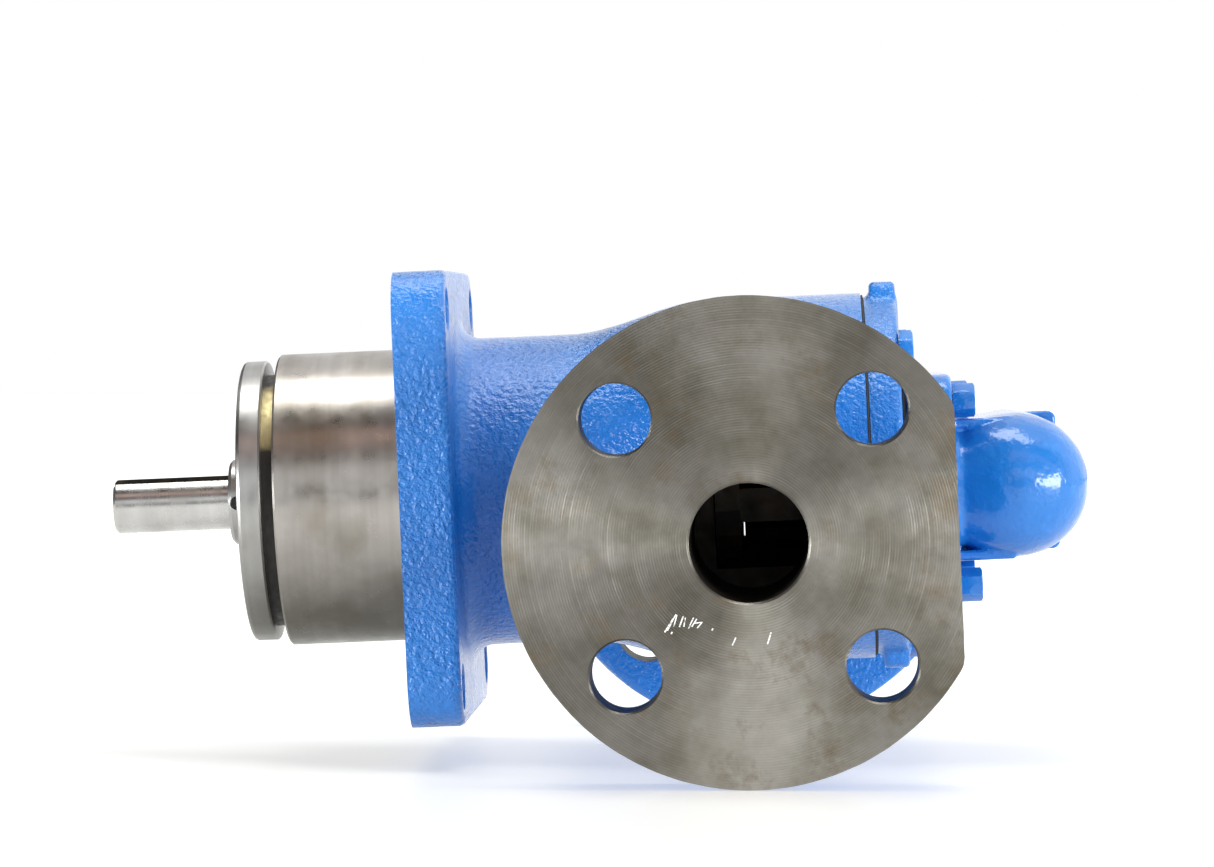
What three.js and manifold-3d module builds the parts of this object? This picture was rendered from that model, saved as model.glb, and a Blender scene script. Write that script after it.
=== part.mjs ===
// Rotary positive-displacement (internal gear) pump with flanged side ports and a relief valve on its head.
// Millimetres, +Z up. The origin is the centre of the mounting flange's outer face, on the shaft's axis.
// +X runs along the shaft towards the head, and the two ports open along -Y and +Y.
import * as THREE from 'three';
import { mergeVertices } from 'three/addons/utils/BufferGeometryUtils.js';
import Module from 'manifold-3d';

// ---- driving dimensions ----
const TOUCH_GAP = 0.3;            // left between faces that rest on each other
const RUN_GAP = 0.15;             // left round pieces that turn or slide
const GASKET_GAP = 0.15;          // left on each side of the thin head gasket

const FINE = 36;                  // sides of a large round
const MEDIUM = 24;
const SMALL = 16;
const TINY = 12;

const FLANGE_SIDE = 104.4;        // square mounting flange
const FLANGE_THICK = 12.2;
const FLANGE_CORNER = 12;
const FLANGE_HOLE_SPACING = 86;
const FLANGE_HOLE_R = 5;

const PORT_X = 79.2;              // centre of both ports
const PORT_Z = -10.8;
const PORT_FACE = 95.25;          // from the shaft's axis to each port's face
const PORT_FLANGE_R = 53.975;
const PORT_FLANGE_THICK = 18;
const PORT_FLAT = 45.9;           // from the port's centre to the flat that clears the head
const PORT_HOLE_CIRCLE_R = 39.69;
const PORT_HOLE_R = 7.94;
const PORT_HOLES = 4;
const PORT_BORE_R = 13.1;
const PORT_NECK_R = 22;
const PORT_FILLET = 5;

const NECK_R = 36.2;              // casing behind the mounting flange
const NECK_FILLET = 5;
const FLARE_START = 38;
const FLARE_END = 72;
const BODY_R = 43;                // casing round the rotor
const CASING_END = 106.85;

const CAVITY_START = 70.9;        // pumping cavity
const CAVITY_R = 34.3;
const CARRIER_BORE_R = 29.3;
const CARRIER_BORE_END = 24.3;
const REGISTER_DEPTH = 2.5;       // recess in the mounting face that centres the carrier
const SEAL_CHAMBER_R = 17;
const SEAL_CHAMBER_END = 48;
const BUSHING_BORE_R = 11.3;

const SHAFT_START = -71.3;
const SHAFT_R = 6.35;
const JOURNAL_R = 8;
const KEYWAY_WIDTH = 3.2;
const KEYWAY_DEPTH = 1.9;
const KEYWAY_END = -47;
const KEYWAY_TURN = THREE.MathUtils.degToRad(18);   // from straight up towards -Y

const CARRIER_START = -30.6;      // turned bearing carrier
const CARRIER_R = 34.35;
const CAP_START = -39.2;          // threaded end cap
const CAP_END = -33.6;
const CAP_R = 33;
const CAP_NECK_R = 29.7;
const CAP_BORE_R = 12.3;
const COLLAR_START = -43.6;
const COLLAR_R = 10;
const SET_SCREW_X = -41.5;
const SET_SCREW_R = 1.3;
const BEARING_START = -23.5;
const BEARING_WIDTH = 11;
const BEARING_R = 17.5;
const BEARING_BORE_R = 7.5;
const BEARING_PITCH_R = 12.5;
const INNER_RACE_R = 10.3;
const OUTER_RACE_BORE_R = 14.7;
const BALL_R = 2.8;
const BALLS = 8;
const SEAL_SEAT_THICK = 6;
const FACE_RING_START = 36;
const FACE_RING_R = 13;
const SEAL_SPRING = { radius: 10.8, wire: 0.9, start: 26.6, end: 34.8, turns: 3 };

const ROTOR_TEETH = 11;
const IDLER_TEETH = 8;
const IDLER_OFFSET = 7.5;         // idler axis above the shaft's axis
const ROTOR_R = 34;
const TOOTH_NOSE_R = 4.2;
const IDLER_TIP_R = 23.2;
const ROTOR_DISC_THICK = 5.7;
const TOOTH_BACKLASH = 0.15;
const IDLER_PIN_R = 6;
const IDLER_BORE_R = 9;
const CRESCENT_HALF_ANGLE = 62;   // degrees either side of straight down
const CRESCENT_GAP = 1.2;         // from the rotor's disc to the crescent

const HEAD_START = 107.55;
const HEAD_END = 115;
const HEAD_R = 42;
const LUG_TOP = 45.4;
const LUG_HALF_WIDTH = 8;
const LUG_STEP = 1.4;             // the lug is this much thinner than the head
const LUG_CORNER = 3;
const HEAD_BOLT_CIRCLE_R = 38.6;
const HEAD_BOLT_ANGLES = [41, 109, 180, 251, 319];   // degrees from straight up
const HEAD_BOLT = { shank: 3, length: 17, across: 8.2, height: 3 };

const VALVE_X = 141.2;            // axis of the relief valve, which runs along Y
const VALVE_Z = -3.1;
const VALVE_R = 16.5;
const VALVE_NEAR = -17;           // centre of the domed end
const VALVE_FAR = 34;             // open end
const VALVE_BORE_R = 11;
const VALVE_BORE_START = -6;
const VALVE_INLET_R = 6;          // from the domed end's hollow to the poppet
const VALVE_NECK_R = 12.5;        // round part that joins the domed end to the plate
const VALVE_NECK_END = 26;        // the neck goes on as a block as far as here
const PASSAGE_R = 4.5;            // two passages between the head and the valve
const PASSAGES_Y = [-13, 12];
const PLATE_START = 116.2;
const PLATE_END = 126.7;
const PLATE_TOP = 23.3;
const PLATE_BOTTOM = -31.3;
const PLATE_HALF_WIDTH = 31;
const PLATE_CORNER = 8;
const WEB_THICK = 2.3;
const WEBS_LOW = [13.6, -17];     // lower face of each web, from the valve's axis
const WEB_NEAR = -23;
const WEB_FAR = 28;
const VALVE_BOLT_Y = 25;
const VALVE_BOLTS_Z = [-22.4, 20.2];   // from the valve's axis
const VALVE_BOLT = { shank: 2.6, length: 16, across: 6.8, height: 5 };

const BONNET_WIDTH = 24.2;
const BONNET_HEIGHT = 33.4;
const BONNET_DROP = 0.9;          // below the valve's axis
const BONNET_CORNER = 2;
const BONNET_END = 42;
const SCREW_R = 4;
const SCREW_START = 23.3;
const SCREW_END = 60;
const SCREW_SLOT_DEPTH = 1.8;
const SCREW_SLOT_WIDTH = 1.2;
const LOCK_NUT_END = 47.3;
const LOCK_NUT_ACROSS = 15;
const CAP_NUT_R = 8.5;
const CAP_NUT_END = 65;
const CAP_NUT_WALL = 3;
const POPPET_R = 8;
const POPPET_FACE = -5.7;
const SPRING_SEAT_R = 9.5;
const SPRING_SEAT_START = 20.5;
const VALVE_SPRING = { radius: 6.6, wire: 0.9, start: 0.6, end: 19.3, turns: 6 };

// ---- finishes ----
const FINISH = {
  paint: { color: 0x2f74cf, roughness: 0.3, metalness: 0.1 },
  machined: { color: 0x85807a, roughness: 0.42, metalness: 0.9 },
  turned: { color: 0xa39c94, roughness: 0.3, metalness: 0.95 },
  bright: { color: 0xc9c9c8, roughness: 0.2, metalness: 1.0 },
  bronze: { color: 0xa9783c, roughness: 0.4, metalness: 0.9 },
  carbon: { color: 0x2a2a2c, roughness: 0.6, metalness: 0.1 },
  rubber: { color: 0x151515, roughness: 0.8, metalness: 0.0 },
  fibre: { color: 0x6d6a5c, roughness: 0.9, metalness: 0.0 },
};

// ---- solids: joining and cutting closed meshes ----
const wasm = await Module();
wasm.setup();

function solid(geometry) {
  const bare = new THREE.BufferGeometry();
  bare.setAttribute('position', geometry.getAttribute('position').clone());
  if (geometry.index) bare.setIndex(geometry.index.clone());
  const merged = mergeVertices(bare, 1e-4);
  const kept = [];
  const corners = merged.index.array;
  for (let i = 0; i < corners.length; i += 3) {
    const [a, b, c] = [corners[i], corners[i + 1], corners[i + 2]];
    if (a !== b && b !== c && c !== a) kept.push(a, b, c);
  }
  return new wasm.Manifold(new wasm.Mesh({
    numProp: 3,
    vertProperties: new Float32Array(merged.getAttribute('position').array),
    triVerts: new Uint32Array(kept),
  }));
}

function joined(first, ...others) {
  return others.reduce((whole, other) => whole.add(other), first);
}

function cut(base, ...tools) {
  return tools.reduce((whole, tool) => whole.subtract(tool), base);
}

function piece(name, body, finish) {
  const mesh = body.getMesh();
  const geometry = new THREE.BufferGeometry();
  geometry.setAttribute('position', new THREE.BufferAttribute(mesh.vertProperties, 3));
  geometry.setIndex(new THREE.BufferAttribute(mesh.triVerts, 1));
  geometry.computeVertexNormals();
  const made = new THREE.Mesh(geometry, new THREE.MeshStandardMaterial(FINISH[finish]));
  made.name = name;
  return made;
}

// ---- basic shapes ----
// A profile is a list of [distance along the axis, radius].
function turnedY(profile, sides = MEDIUM) {
  return new THREE.LatheGeometry(profile.map(([along, radius]) => new THREE.Vector2(radius, along)), sides);
}

function turned(profile, sides = MEDIUM) {
  return turnedY(profile, sides).rotateZ(-Math.PI / 2);
}

function rodProfile(radius, from, to) {
  return [[from, 0], [from, radius], [to, radius], [to, 0]];
}

function ringProfile(inner, outer, from, to) {
  return [[from, inner], [from, outer], [to, outer], [to, inner], [from, inner]];
}

function rod(radius, from, to, sides = MEDIUM) {
  return turned(rodProfile(radius, from, to), sides);
}

function rodY(radius, from, to, sides = MEDIUM) {
  return turnedY(rodProfile(radius, from, to), sides);
}

function ring(inner, outer, from, to, sides = MEDIUM) {
  return turned(ringProfile(inner, outer, from, to), sides);
}

function block(low, high) {
  const size = high.map((value, axis) => value - low[axis]);
  const geometry = new THREE.BoxGeometry(...size);
  return geometry.translate(...low.map((value, axis) => value + size[axis] / 2));
}

// An outline drawn in (Y, Z), extruded along X.
function slab(shape, from, to, curveSegments = 6) {
  const geometry = new THREE.ExtrudeGeometry(shape, { depth: to - from, bevelEnabled: false, curveSegments });
  const turn = new THREE.Matrix4().makeBasis(
    new THREE.Vector3(0, 1, 0), new THREE.Vector3(0, 0, 1), new THREE.Vector3(1, 0, 0));
  return geometry.applyMatrix4(turn).translate(from, 0, 0);
}

function roundedRectangle(left, right, bottom, top, radius) {
  const shape = new THREE.Shape();
  shape.moveTo(left + radius, bottom);
  shape.lineTo(right - radius, bottom);
  shape.absarc(right - radius, bottom + radius, radius, -Math.PI / 2, 0);
  shape.lineTo(right, top - radius);
  shape.absarc(right - radius, top - radius, radius, 0, Math.PI / 2);
  shape.lineTo(left + radius, top);
  shape.absarc(left + radius, top - radius, radius, Math.PI / 2, Math.PI);
  shape.lineTo(left, bottom + radius);
  shape.absarc(left + radius, bottom + radius, radius, Math.PI, 1.5 * Math.PI);
  return shape;
}

function hexagon(across) {
  const shape = new THREE.Shape();
  for (let corner = 0; corner < 6; corner += 1) {
    const angle = (corner + 0.5) * Math.PI / 3;
    const point = [Math.cos(angle) * across / Math.sqrt(3), Math.sin(angle) * across / Math.sqrt(3)];
    if (corner === 0) shape.moveTo(...point);
    else shape.lineTo(...point);
  }
  return shape;
}

// [Y, Z] at an angle in degrees from straight up.
function onCircle(radius, degrees) {
  const angle = THREE.MathUtils.degToRad(degrees);
  return [radius * Math.sin(angle), radius * Math.cos(angle)];
}

function coil({ radius, wire, start, end, turns }, stepsPerTurn = 10, sides = 6) {
  class Helix extends THREE.Curve {
    getPoint(t) {
      const angle = 2 * Math.PI * turns * t;
      const along = THREE.MathUtils.lerp(start, end, t);
      return new THREE.Vector3(along, radius * Math.cos(angle), radius * Math.sin(angle));
    }
  }
  const section = new THREE.Shape();
  for (let side = 0; side < sides; side += 1) {
    const angle = 2 * Math.PI * side / sides;
    const point = [wire * Math.cos(angle), wire * Math.sin(angle)];
    if (side === 0) section.moveTo(...point);
    else section.lineTo(...point);
  }
  return new THREE.ExtrudeGeometry(section, { steps: turns * stepsPerTurn, extrudePath: new Helix() });
}

// ---- pump casing: mounting flange, neck, body, ports and flanges in one casting ----
function makeCasing() {
  const side = FLANGE_SIDE / 2;
  const mountingFlange = slab(roundedRectangle(-side, side, -side, side, FLANGE_CORNER), 0, FLANGE_THICK);

  const bodyProfile = [[FLANGE_THICK / 2, 0]];
  bodyProfile.push([FLANGE_THICK / 2, NECK_R + NECK_FILLET]);
  for (let step = 0; step <= 4; step += 1) {
    const angle = step / 4 * Math.PI / 2;
    const along = FLANGE_THICK + NECK_FILLET * (1 - Math.cos(angle));
    bodyProfile.push([along, NECK_R + NECK_FILLET * (1 - Math.sin(angle))]);
  }
  const flareSteps = 6;
  for (let step = 0; step <= flareSteps; step += 1) {
    const t = step / flareSteps;
    const rise = (1 - Math.cos(Math.PI * t)) / 2;
    bodyProfile.push([THREE.MathUtils.lerp(FLARE_START, FLARE_END, t), NECK_R + (BODY_R - NECK_R) * rise]);
  }
  bodyProfile.push([CASING_END, BODY_R], [CASING_END, 0]);

  const backFace = PORT_FACE - PORT_FLANGE_THICK;
  const halfSpool = [];
  for (let step = 0; step <= 3; step += 1) {
    const angle = step / 3 * Math.PI / 2;
    const along = backFace - PORT_FILLET * (1 - Math.sin(angle));
    halfSpool.push([along, PORT_NECK_R + PORT_FILLET * (1 - Math.cos(angle))]);
  }
  halfSpool.push([backFace, PORT_FLANGE_R], [PORT_FACE, PORT_FLANGE_R], [PORT_FACE, 0]);
  const mirrored = halfSpool.map(([along, radius]) => [-along, radius]).reverse();
  const spool = turnedY([...mirrored, ...halfSpool], FINE).translate(PORT_X, 0, PORT_Z);

  const flat = PORT_X + PORT_FLAT;
  const reach = PORT_FACE + 1;
  const cutterHalf = PORT_FLANGE_R + 1;
  const flatCutter = block([flat, -reach, PORT_Z - cutterHalf], [flat + 20, reach, PORT_Z + cutterHalf]);

  const tools = [
    solid(flatCutter),
    solid(rod(CARRIER_R + TOUCH_GAP, -1, REGISTER_DEPTH, FINE)),
    solid(rod(CARRIER_BORE_R, -1, CARRIER_BORE_END, FINE)),
    solid(rod(SEAL_CHAMBER_R, CARRIER_BORE_END - 1, SEAL_CHAMBER_END)),
    solid(rod(BUSHING_BORE_R, SEAL_CHAMBER_END - 1, CAVITY_START + 1)),
    solid(rod(CAVITY_R, CAVITY_START, CASING_END + 1, FINE)),
  ];
  for (const direction of [-1, 1]) {
    const ends = [direction * (CAVITY_R - 6), direction * reach].sort((a, b) => a - b);
    const bore = rodY(PORT_BORE_R, ...ends).translate(PORT_X, 0, PORT_Z);
    tools.push(solid(bore));
    for (let hole = 0; hole < PORT_HOLES; hole += 1) {
      const [x, z] = onCircle(PORT_HOLE_CIRCLE_R, 45 + 90 * hole);
      const span = [direction * (backFace - 1), direction * reach].sort((a, b) => a - b);
      const drill = rodY(PORT_HOLE_R, ...span, SMALL).translate(PORT_X + x, 0, PORT_Z + z);
      tools.push(solid(drill));
    }
  }
  for (const y of [-FLANGE_HOLE_SPACING / 2, FLANGE_HOLE_SPACING / 2]) {
    for (const z of [-FLANGE_HOLE_SPACING / 2, FLANGE_HOLE_SPACING / 2]) {
      tools.push(solid(rod(FLANGE_HOLE_R, -1, FLANGE_THICK + 1, SMALL).translate(0, y, z)));
    }
  }
  for (const degrees of HEAD_BOLT_ANGLES) {
    const [y, z] = onCircle(HEAD_BOLT_CIRCLE_R, degrees);
    const start = HEAD_END - HEAD_BOLT.length - 1;
    const drill = rod(HEAD_BOLT.shank + TOUCH_GAP, start, CASING_END + 1, TINY).translate(0, y, z);
    tools.push(solid(drill));
  }
  const casting = joined(solid(mountingFlange), solid(turned(bodyProfile, FINE)), solid(spool));
  return cut(casting, ...tools);
}

// ---- head: cover plate with a lug, the crescent and the idler pin's hole ----
function makeHead() {
  const lug = roundedRectangle(-LUG_HALF_WIDTH, LUG_HALF_WIDTH, HEAD_R - 12, LUG_TOP, LUG_CORNER);
  const lugStart = HEAD_START + LUG_STEP;

  const rotorTips = pitchRadius(ROTOR_TEETH) - TOOTH_NOSE_R;
  const crescentStart = CAVITY_START + ROTOR_DISC_THICK + CRESCENT_GAP;
  const outer = solid(rod(rotorTips - TOUCH_GAP, crescentStart, HEAD_START + 1));
  const idlerRoom = solid(rod(IDLER_TIP_R + TOUCH_GAP, crescentStart - 1, HEAD_START)
    .translate(0, 0, IDLER_OFFSET));
  const far = 3 * BODY_R;
  const [edgeY, edgeZ] = onCircle(far, 180 - CRESCENT_HALF_ANGLE);
  const wedge = new THREE.Shape([
    new THREE.Vector2(0, 0),
    new THREE.Vector2(-edgeY, edgeZ),
    new THREE.Vector2(-edgeY, -far),
    new THREE.Vector2(edgeY, -far),
    new THREE.Vector2(edgeY, edgeZ),
  ]);
  const crescent = cut(outer.intersect(solid(slab(wedge, crescentStart - 1, HEAD_START + 2))), idlerRoom);

  const holes = [solid(rod(IDLER_PIN_R + TOUCH_GAP, HEAD_START - 1, HEAD_END + 1, SMALL)
    .translate(0, 0, IDLER_OFFSET))];
  for (const degrees of HEAD_BOLT_ANGLES) {
    const [y, z] = onCircle(HEAD_BOLT_CIRCLE_R, degrees);
    const drill = rod(HEAD_BOLT.shank + TOUCH_GAP, HEAD_START - 1, HEAD_END + 1, TINY);
    holes.push(solid(drill.translate(0, y, z)));
  }
  for (const y of [-VALVE_BOLT_Y, VALVE_BOLT_Y]) {
    for (const z of VALVE_BOLTS_Z) {
      const start = PLATE_END - VALVE_BOLT.length - 1;
      const drill = rod(VALVE_BOLT.shank + TOUCH_GAP, start, HEAD_END + 1, TINY);
      holes.push(solid(drill.translate(0, y, VALVE_Z + z)));
    }
  }
  const plate = solid(rod(HEAD_R, HEAD_START, HEAD_END, FINE));
  return cut(joined(plate, solid(slab(lug, lugStart, HEAD_END)), crescent), ...holes);
}

function makeHeadGasket() {
  const [from, to] = [CASING_END + GASKET_GAP, HEAD_START - GASKET_GAP];
  const gasket = solid(ring(CAVITY_R + 0.4, BODY_R - 0.5, from, to, FINE));
  const holes = HEAD_BOLT_ANGLES.map((degrees) => {
    const [y, z] = onCircle(HEAD_BOLT_CIRCLE_R, degrees);
    return solid(rod(HEAD_BOLT.shank + TOUCH_GAP, CASING_END - 1, HEAD_START + 1, TINY).translate(0, y, z));
  });
  return cut(gasket, ...holes);
}

// ---- gears ----
function pitchRadius(teeth) {
  return IDLER_OFFSET * teeth / (ROTOR_TEETH - IDLER_TEETH);
}

// The rotor is a disc with round-nosed teeth standing from it, parallel to the shaft.
function makeRotor(toothEnd) {
  const noseCentre = pitchRadius(ROTOR_TEETH);
  const tooth = new THREE.Shape();
  tooth.moveTo(TOOTH_NOSE_R - 0.3, ROTOR_R - 0.6);
  tooth.lineTo(-TOOTH_NOSE_R + 0.3, ROTOR_R - 0.6);
  tooth.absarc(0, noseCentre, TOOTH_NOSE_R, Math.PI, 2 * Math.PI);
  const discStart = CAVITY_START + TOUCH_GAP;
  const discEnd = discStart + ROTOR_DISC_THICK;
  const parts = [solid(ring(JOURNAL_R + TOUCH_GAP, ROTOR_R, discStart, discEnd, FINE))];
  for (let index = 0; index < ROTOR_TEETH; index += 1) {
    const angle = 2 * Math.PI * index / ROTOR_TEETH;
    parts.push(solid(slab(tooth, discEnd - 1, toothEnd, 8).rotateX(angle)));
  }
  return joined(...parts);
}

// Where the centre of a rotor tooth's nose is, in the idler's own turning frame.
function noseInIdler(angle) {
  const radius = pitchRadius(ROTOR_TEETH);
  const turn = -angle * ROTOR_TEETH / IDLER_TEETH;
  const point = new THREE.Vector2(radius * Math.sin(angle), radius * Math.cos(angle) - IDLER_OFFSET);
  return point.rotateAround(new THREE.Vector2(0, 0), -turn);
}

// One side of a tooth space: the nose's path, offset by the nose's radius.
function idlerFlank() {
  const room = TOOTH_NOSE_R + TOOTH_BACKLASH;
  const flank = [];
  const firstAngle = 0.56;        // nearer the mesh point the nose's own round shapes the space
  const step = 0.08;
  const small = 0.0005;
  for (let angle = firstAngle; ; angle += step) {
    const here = noseInIdler(angle);
    const direction = noseInIdler(angle + small).sub(noseInIdler(angle - small)).normalize();
    const side = Math.sign(here.x);
    const point = here.addScaledVector(new THREE.Vector2(side * direction.y, -side * direction.x), room);
    if (point.length() > IDLER_TIP_R) {
      flank.push(point.setLength(IDLER_TIP_R));
      return flank;
    }
    flank.push(point);
  }
}

function makeIdler(from, to) {
  const flank = idlerFlank();
  const side = Math.sign(flank[0].x);
  const right = flank.map((point) => new THREE.Vector2(side * point.x, point.y));
  const left = right.map((point) => new THREE.Vector2(-point.x, point.y)).reverse();
  const root = [];
  const room = TOOTH_NOSE_R + TOOTH_BACKLASH;
  for (let step = 1; step < 6; step += 1) {
    const angle = Math.PI + Math.PI * step / 6;
    root.push(new THREE.Vector2(room * Math.cos(angle), pitchRadius(IDLER_TEETH) + room * Math.sin(angle)));
  }
  const space = [...left, ...root, ...right];
  const outline = [];
  for (let tooth = 0; tooth < IDLER_TEETH; tooth += 1) {
    const angle = -2 * Math.PI * tooth / IDLER_TEETH;
    for (const point of space) outline.push(point.clone().rotateAround(new THREE.Vector2(0, 0), angle));
  }
  const blank = solid(slab(new THREE.Shape(outline.reverse()), from, to));
  return cut(blank, solid(rod(IDLER_BORE_R, from - 1, to + 1, SMALL)));
}

function makeIdlerBushing(from, to) {
  return solid(ring(IDLER_PIN_R + RUN_GAP, IDLER_BORE_R - TOUCH_GAP, from, to, SMALL));
}

// ---- shaft, bearing and seals ----
function makeShaft() {
  const end = CAVITY_START + TOUCH_GAP + ROTOR_DISC_THICK - 0.5;
  const journalStart = BEARING_START + BEARING_WIDTH + 0.5;
  const body = solid(turned([
    [SHAFT_START, 0], [SHAFT_START, SHAFT_R - 0.6], [SHAFT_START + 0.6, SHAFT_R], [CAP_END + 1, SHAFT_R],
    [CAP_END + 1, BEARING_BORE_R - TOUCH_GAP], [journalStart, BEARING_BORE_R - TOUCH_GAP],
    [journalStart, JOURNAL_R], [end, JOURNAL_R], [end, 0],
  ]));
  const half = KEYWAY_WIDTH / 2;
  const floor = SHAFT_R - KEYWAY_DEPTH;
  const slot = block([SHAFT_START - 1, -half, floor], [KEYWAY_END, half, SHAFT_R + 1])
    .rotateX(KEYWAY_TURN);
  const cutterR = 12;             // the milling cutter leaves a curved run-out
  const runOut = new THREE.CylinderGeometry(cutterR, cutterR, KEYWAY_WIDTH, MEDIUM)
    .translate(KEYWAY_END - 0.02, 0, floor + cutterR)
    .rotateX(KEYWAY_TURN);
  return cut(body, solid(slot), solid(runOut));
}

function bearingRace(inner, outer, grooveSide) {
  const middle = BEARING_START + BEARING_WIDTH / 2;
  const end = BEARING_START + BEARING_WIDTH;
  const grooveR = BALL_R + 0.3;
  const edge = grooveSide > 0 ? outer : inner;
  const halfWidth = Math.sqrt(grooveR ** 2 - (BEARING_PITCH_R - edge) ** 2);
  const groove = [];
  for (let step = 0; step <= 6; step += 1) {
    const along = THREE.MathUtils.lerp(-halfWidth, halfWidth, step / 6);
    const depth = Math.sqrt(Math.max(grooveR ** 2 - along ** 2, 0));
    groove.push([middle + along, BEARING_PITCH_R - grooveSide * depth]);
  }
  const outside = grooveSide > 0 ? groove : [];
  const inside = grooveSide > 0 ? [] : groove.reverse();
  return solid(turned([
    [BEARING_START, inner], [BEARING_START, outer], ...outside, [end, outer], [end, inner], ...inside,
    [BEARING_START, inner],
  ]));
}

function makeBallCage() {
  const middle = BEARING_START + BEARING_WIDTH / 2;
  const parts = [solid(ring(BEARING_PITCH_R - 0.9, BEARING_PITCH_R + 0.9, middle - 3.6, middle + 3.6))];
  for (let ball = 0; ball < BALLS; ball += 1) {
    const [y, z] = onCircle(BEARING_PITCH_R, 360 * ball / BALLS);
    parts.push(solid(new THREE.SphereGeometry(BALL_R, 10, 7).translate(middle, y, z)));
  }
  return joined(...parts);
}

function makeCarrier() {
  const bearingEnd = BEARING_START + BEARING_WIDTH;
  const capBoreR = CAP_NECK_R + TOUCH_GAP;
  const shoulderR = CARRIER_BORE_R - TOUCH_GAP;
  const seatR = BEARING_R + TOUCH_GAP;
  return solid(turned([
    [CARRIER_START, capBoreR], [CARRIER_START, CARRIER_R - 0.5], [CARRIER_START + 0.5, CARRIER_R],
    [REGISTER_DEPTH - TOUCH_GAP, CARRIER_R], [REGISTER_DEPTH - TOUCH_GAP, shoulderR],
    [CARRIER_BORE_END - TOUCH_GAP, shoulderR], [CARRIER_BORE_END - TOUCH_GAP, JOURNAL_R + 1.5],
    [bearingEnd + TOUCH_GAP, JOURNAL_R + 1.5], [bearingEnd + TOUCH_GAP, seatR],
    [BEARING_START - 0.5, seatR], [BEARING_START - 0.5, capBoreR], [CARRIER_START, capBoreR],
  ], FINE));
}

function makeEndCap() {
  const inside = BEARING_START - 0.8;
  return solid(turned([
    [CAP_START, CAP_BORE_R], [CAP_START, CAP_R - 0.8], [CAP_START + 0.8, CAP_R], [CAP_END - 0.4, CAP_R],
    [CAP_END, CAP_R - 0.4], [CAP_END, CAP_NECK_R], [inside, CAP_NECK_R], [inside, CAP_BORE_R],
    [CAP_START, CAP_BORE_R],
  ], FINE));
}

function makeLipSeal() {
  const start = CAP_START + 0.5;
  const wall = 1.4;
  const outerR = CAP_BORE_R - TOUCH_GAP;
  const lipR = SHAFT_R + 0.35;
  return solid(turned([
    [start, lipR], [start, outerR], [start + 5.5, outerR], [start + 5.5, outerR - wall],
    [start + 1.2, outerR - wall], [start + 2, lipR], [start, lipR],
  ]));
}

function makeCollar() {
  const end = CAP_START - TOUCH_GAP;
  const boreR = SHAFT_R + TOUCH_GAP;
  const chamfer = 0.6;
  const collar = solid(turned([
    [COLLAR_START, boreR], [COLLAR_START, COLLAR_R - chamfer], [COLLAR_START + chamfer, COLLAR_R],
    [end, COLLAR_R], [end, boreR], [COLLAR_START, boreR],
  ], SMALL));
  const holeR = SET_SCREW_R + TOUCH_GAP;
  const screwHole = new THREE.CylinderGeometry(holeR, holeR, 8, TINY).translate(SET_SCREW_X, -9, 0);
  return cut(collar, solid(screwHole));
}

function makeSetScrew() {
  return solid(new THREE.CylinderGeometry(SET_SCREW_R, SET_SCREW_R, 2.2, TINY).translate(SET_SCREW_X, -8, 0));
}

function makeShaftBushing() {
  const outerR = BUSHING_BORE_R - TOUCH_GAP;
  return solid(ring(JOURNAL_R + RUN_GAP, outerR, SEAL_CHAMBER_END + 0.2, CAVITY_START - 0.2));
}

function makeSealSeat() {
  const outerR = SEAL_CHAMBER_R - TOUCH_GAP;
  const start = SEAL_CHAMBER_END - SEAL_SEAT_THICK;
  return solid(ring(JOURNAL_R + 0.6, outerR, start, SEAL_CHAMBER_END - TOUCH_GAP));
}

function makeSealFaceRing() {
  const end = SEAL_CHAMBER_END - SEAL_SEAT_THICK - TOUCH_GAP;
  return solid(ring(JOURNAL_R + TOUCH_GAP, FACE_RING_R, FACE_RING_START, end));
}

// ---- fasteners ----
function makeBolt({ shank, length, across, height }) {
  const head = solid(slab(hexagon(across), 0, height));
  const topChamfer = solid(turned([
    [-1, 0], [-1, across], [height - 0.8, across], [height - 0.8, across * 0.58], [height, across * 0.5],
    [height, 0],
  ], TINY));
  return joined(head.intersect(topChamfer), solid(rod(shank, -length, 0.1, TINY)));
}

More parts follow.
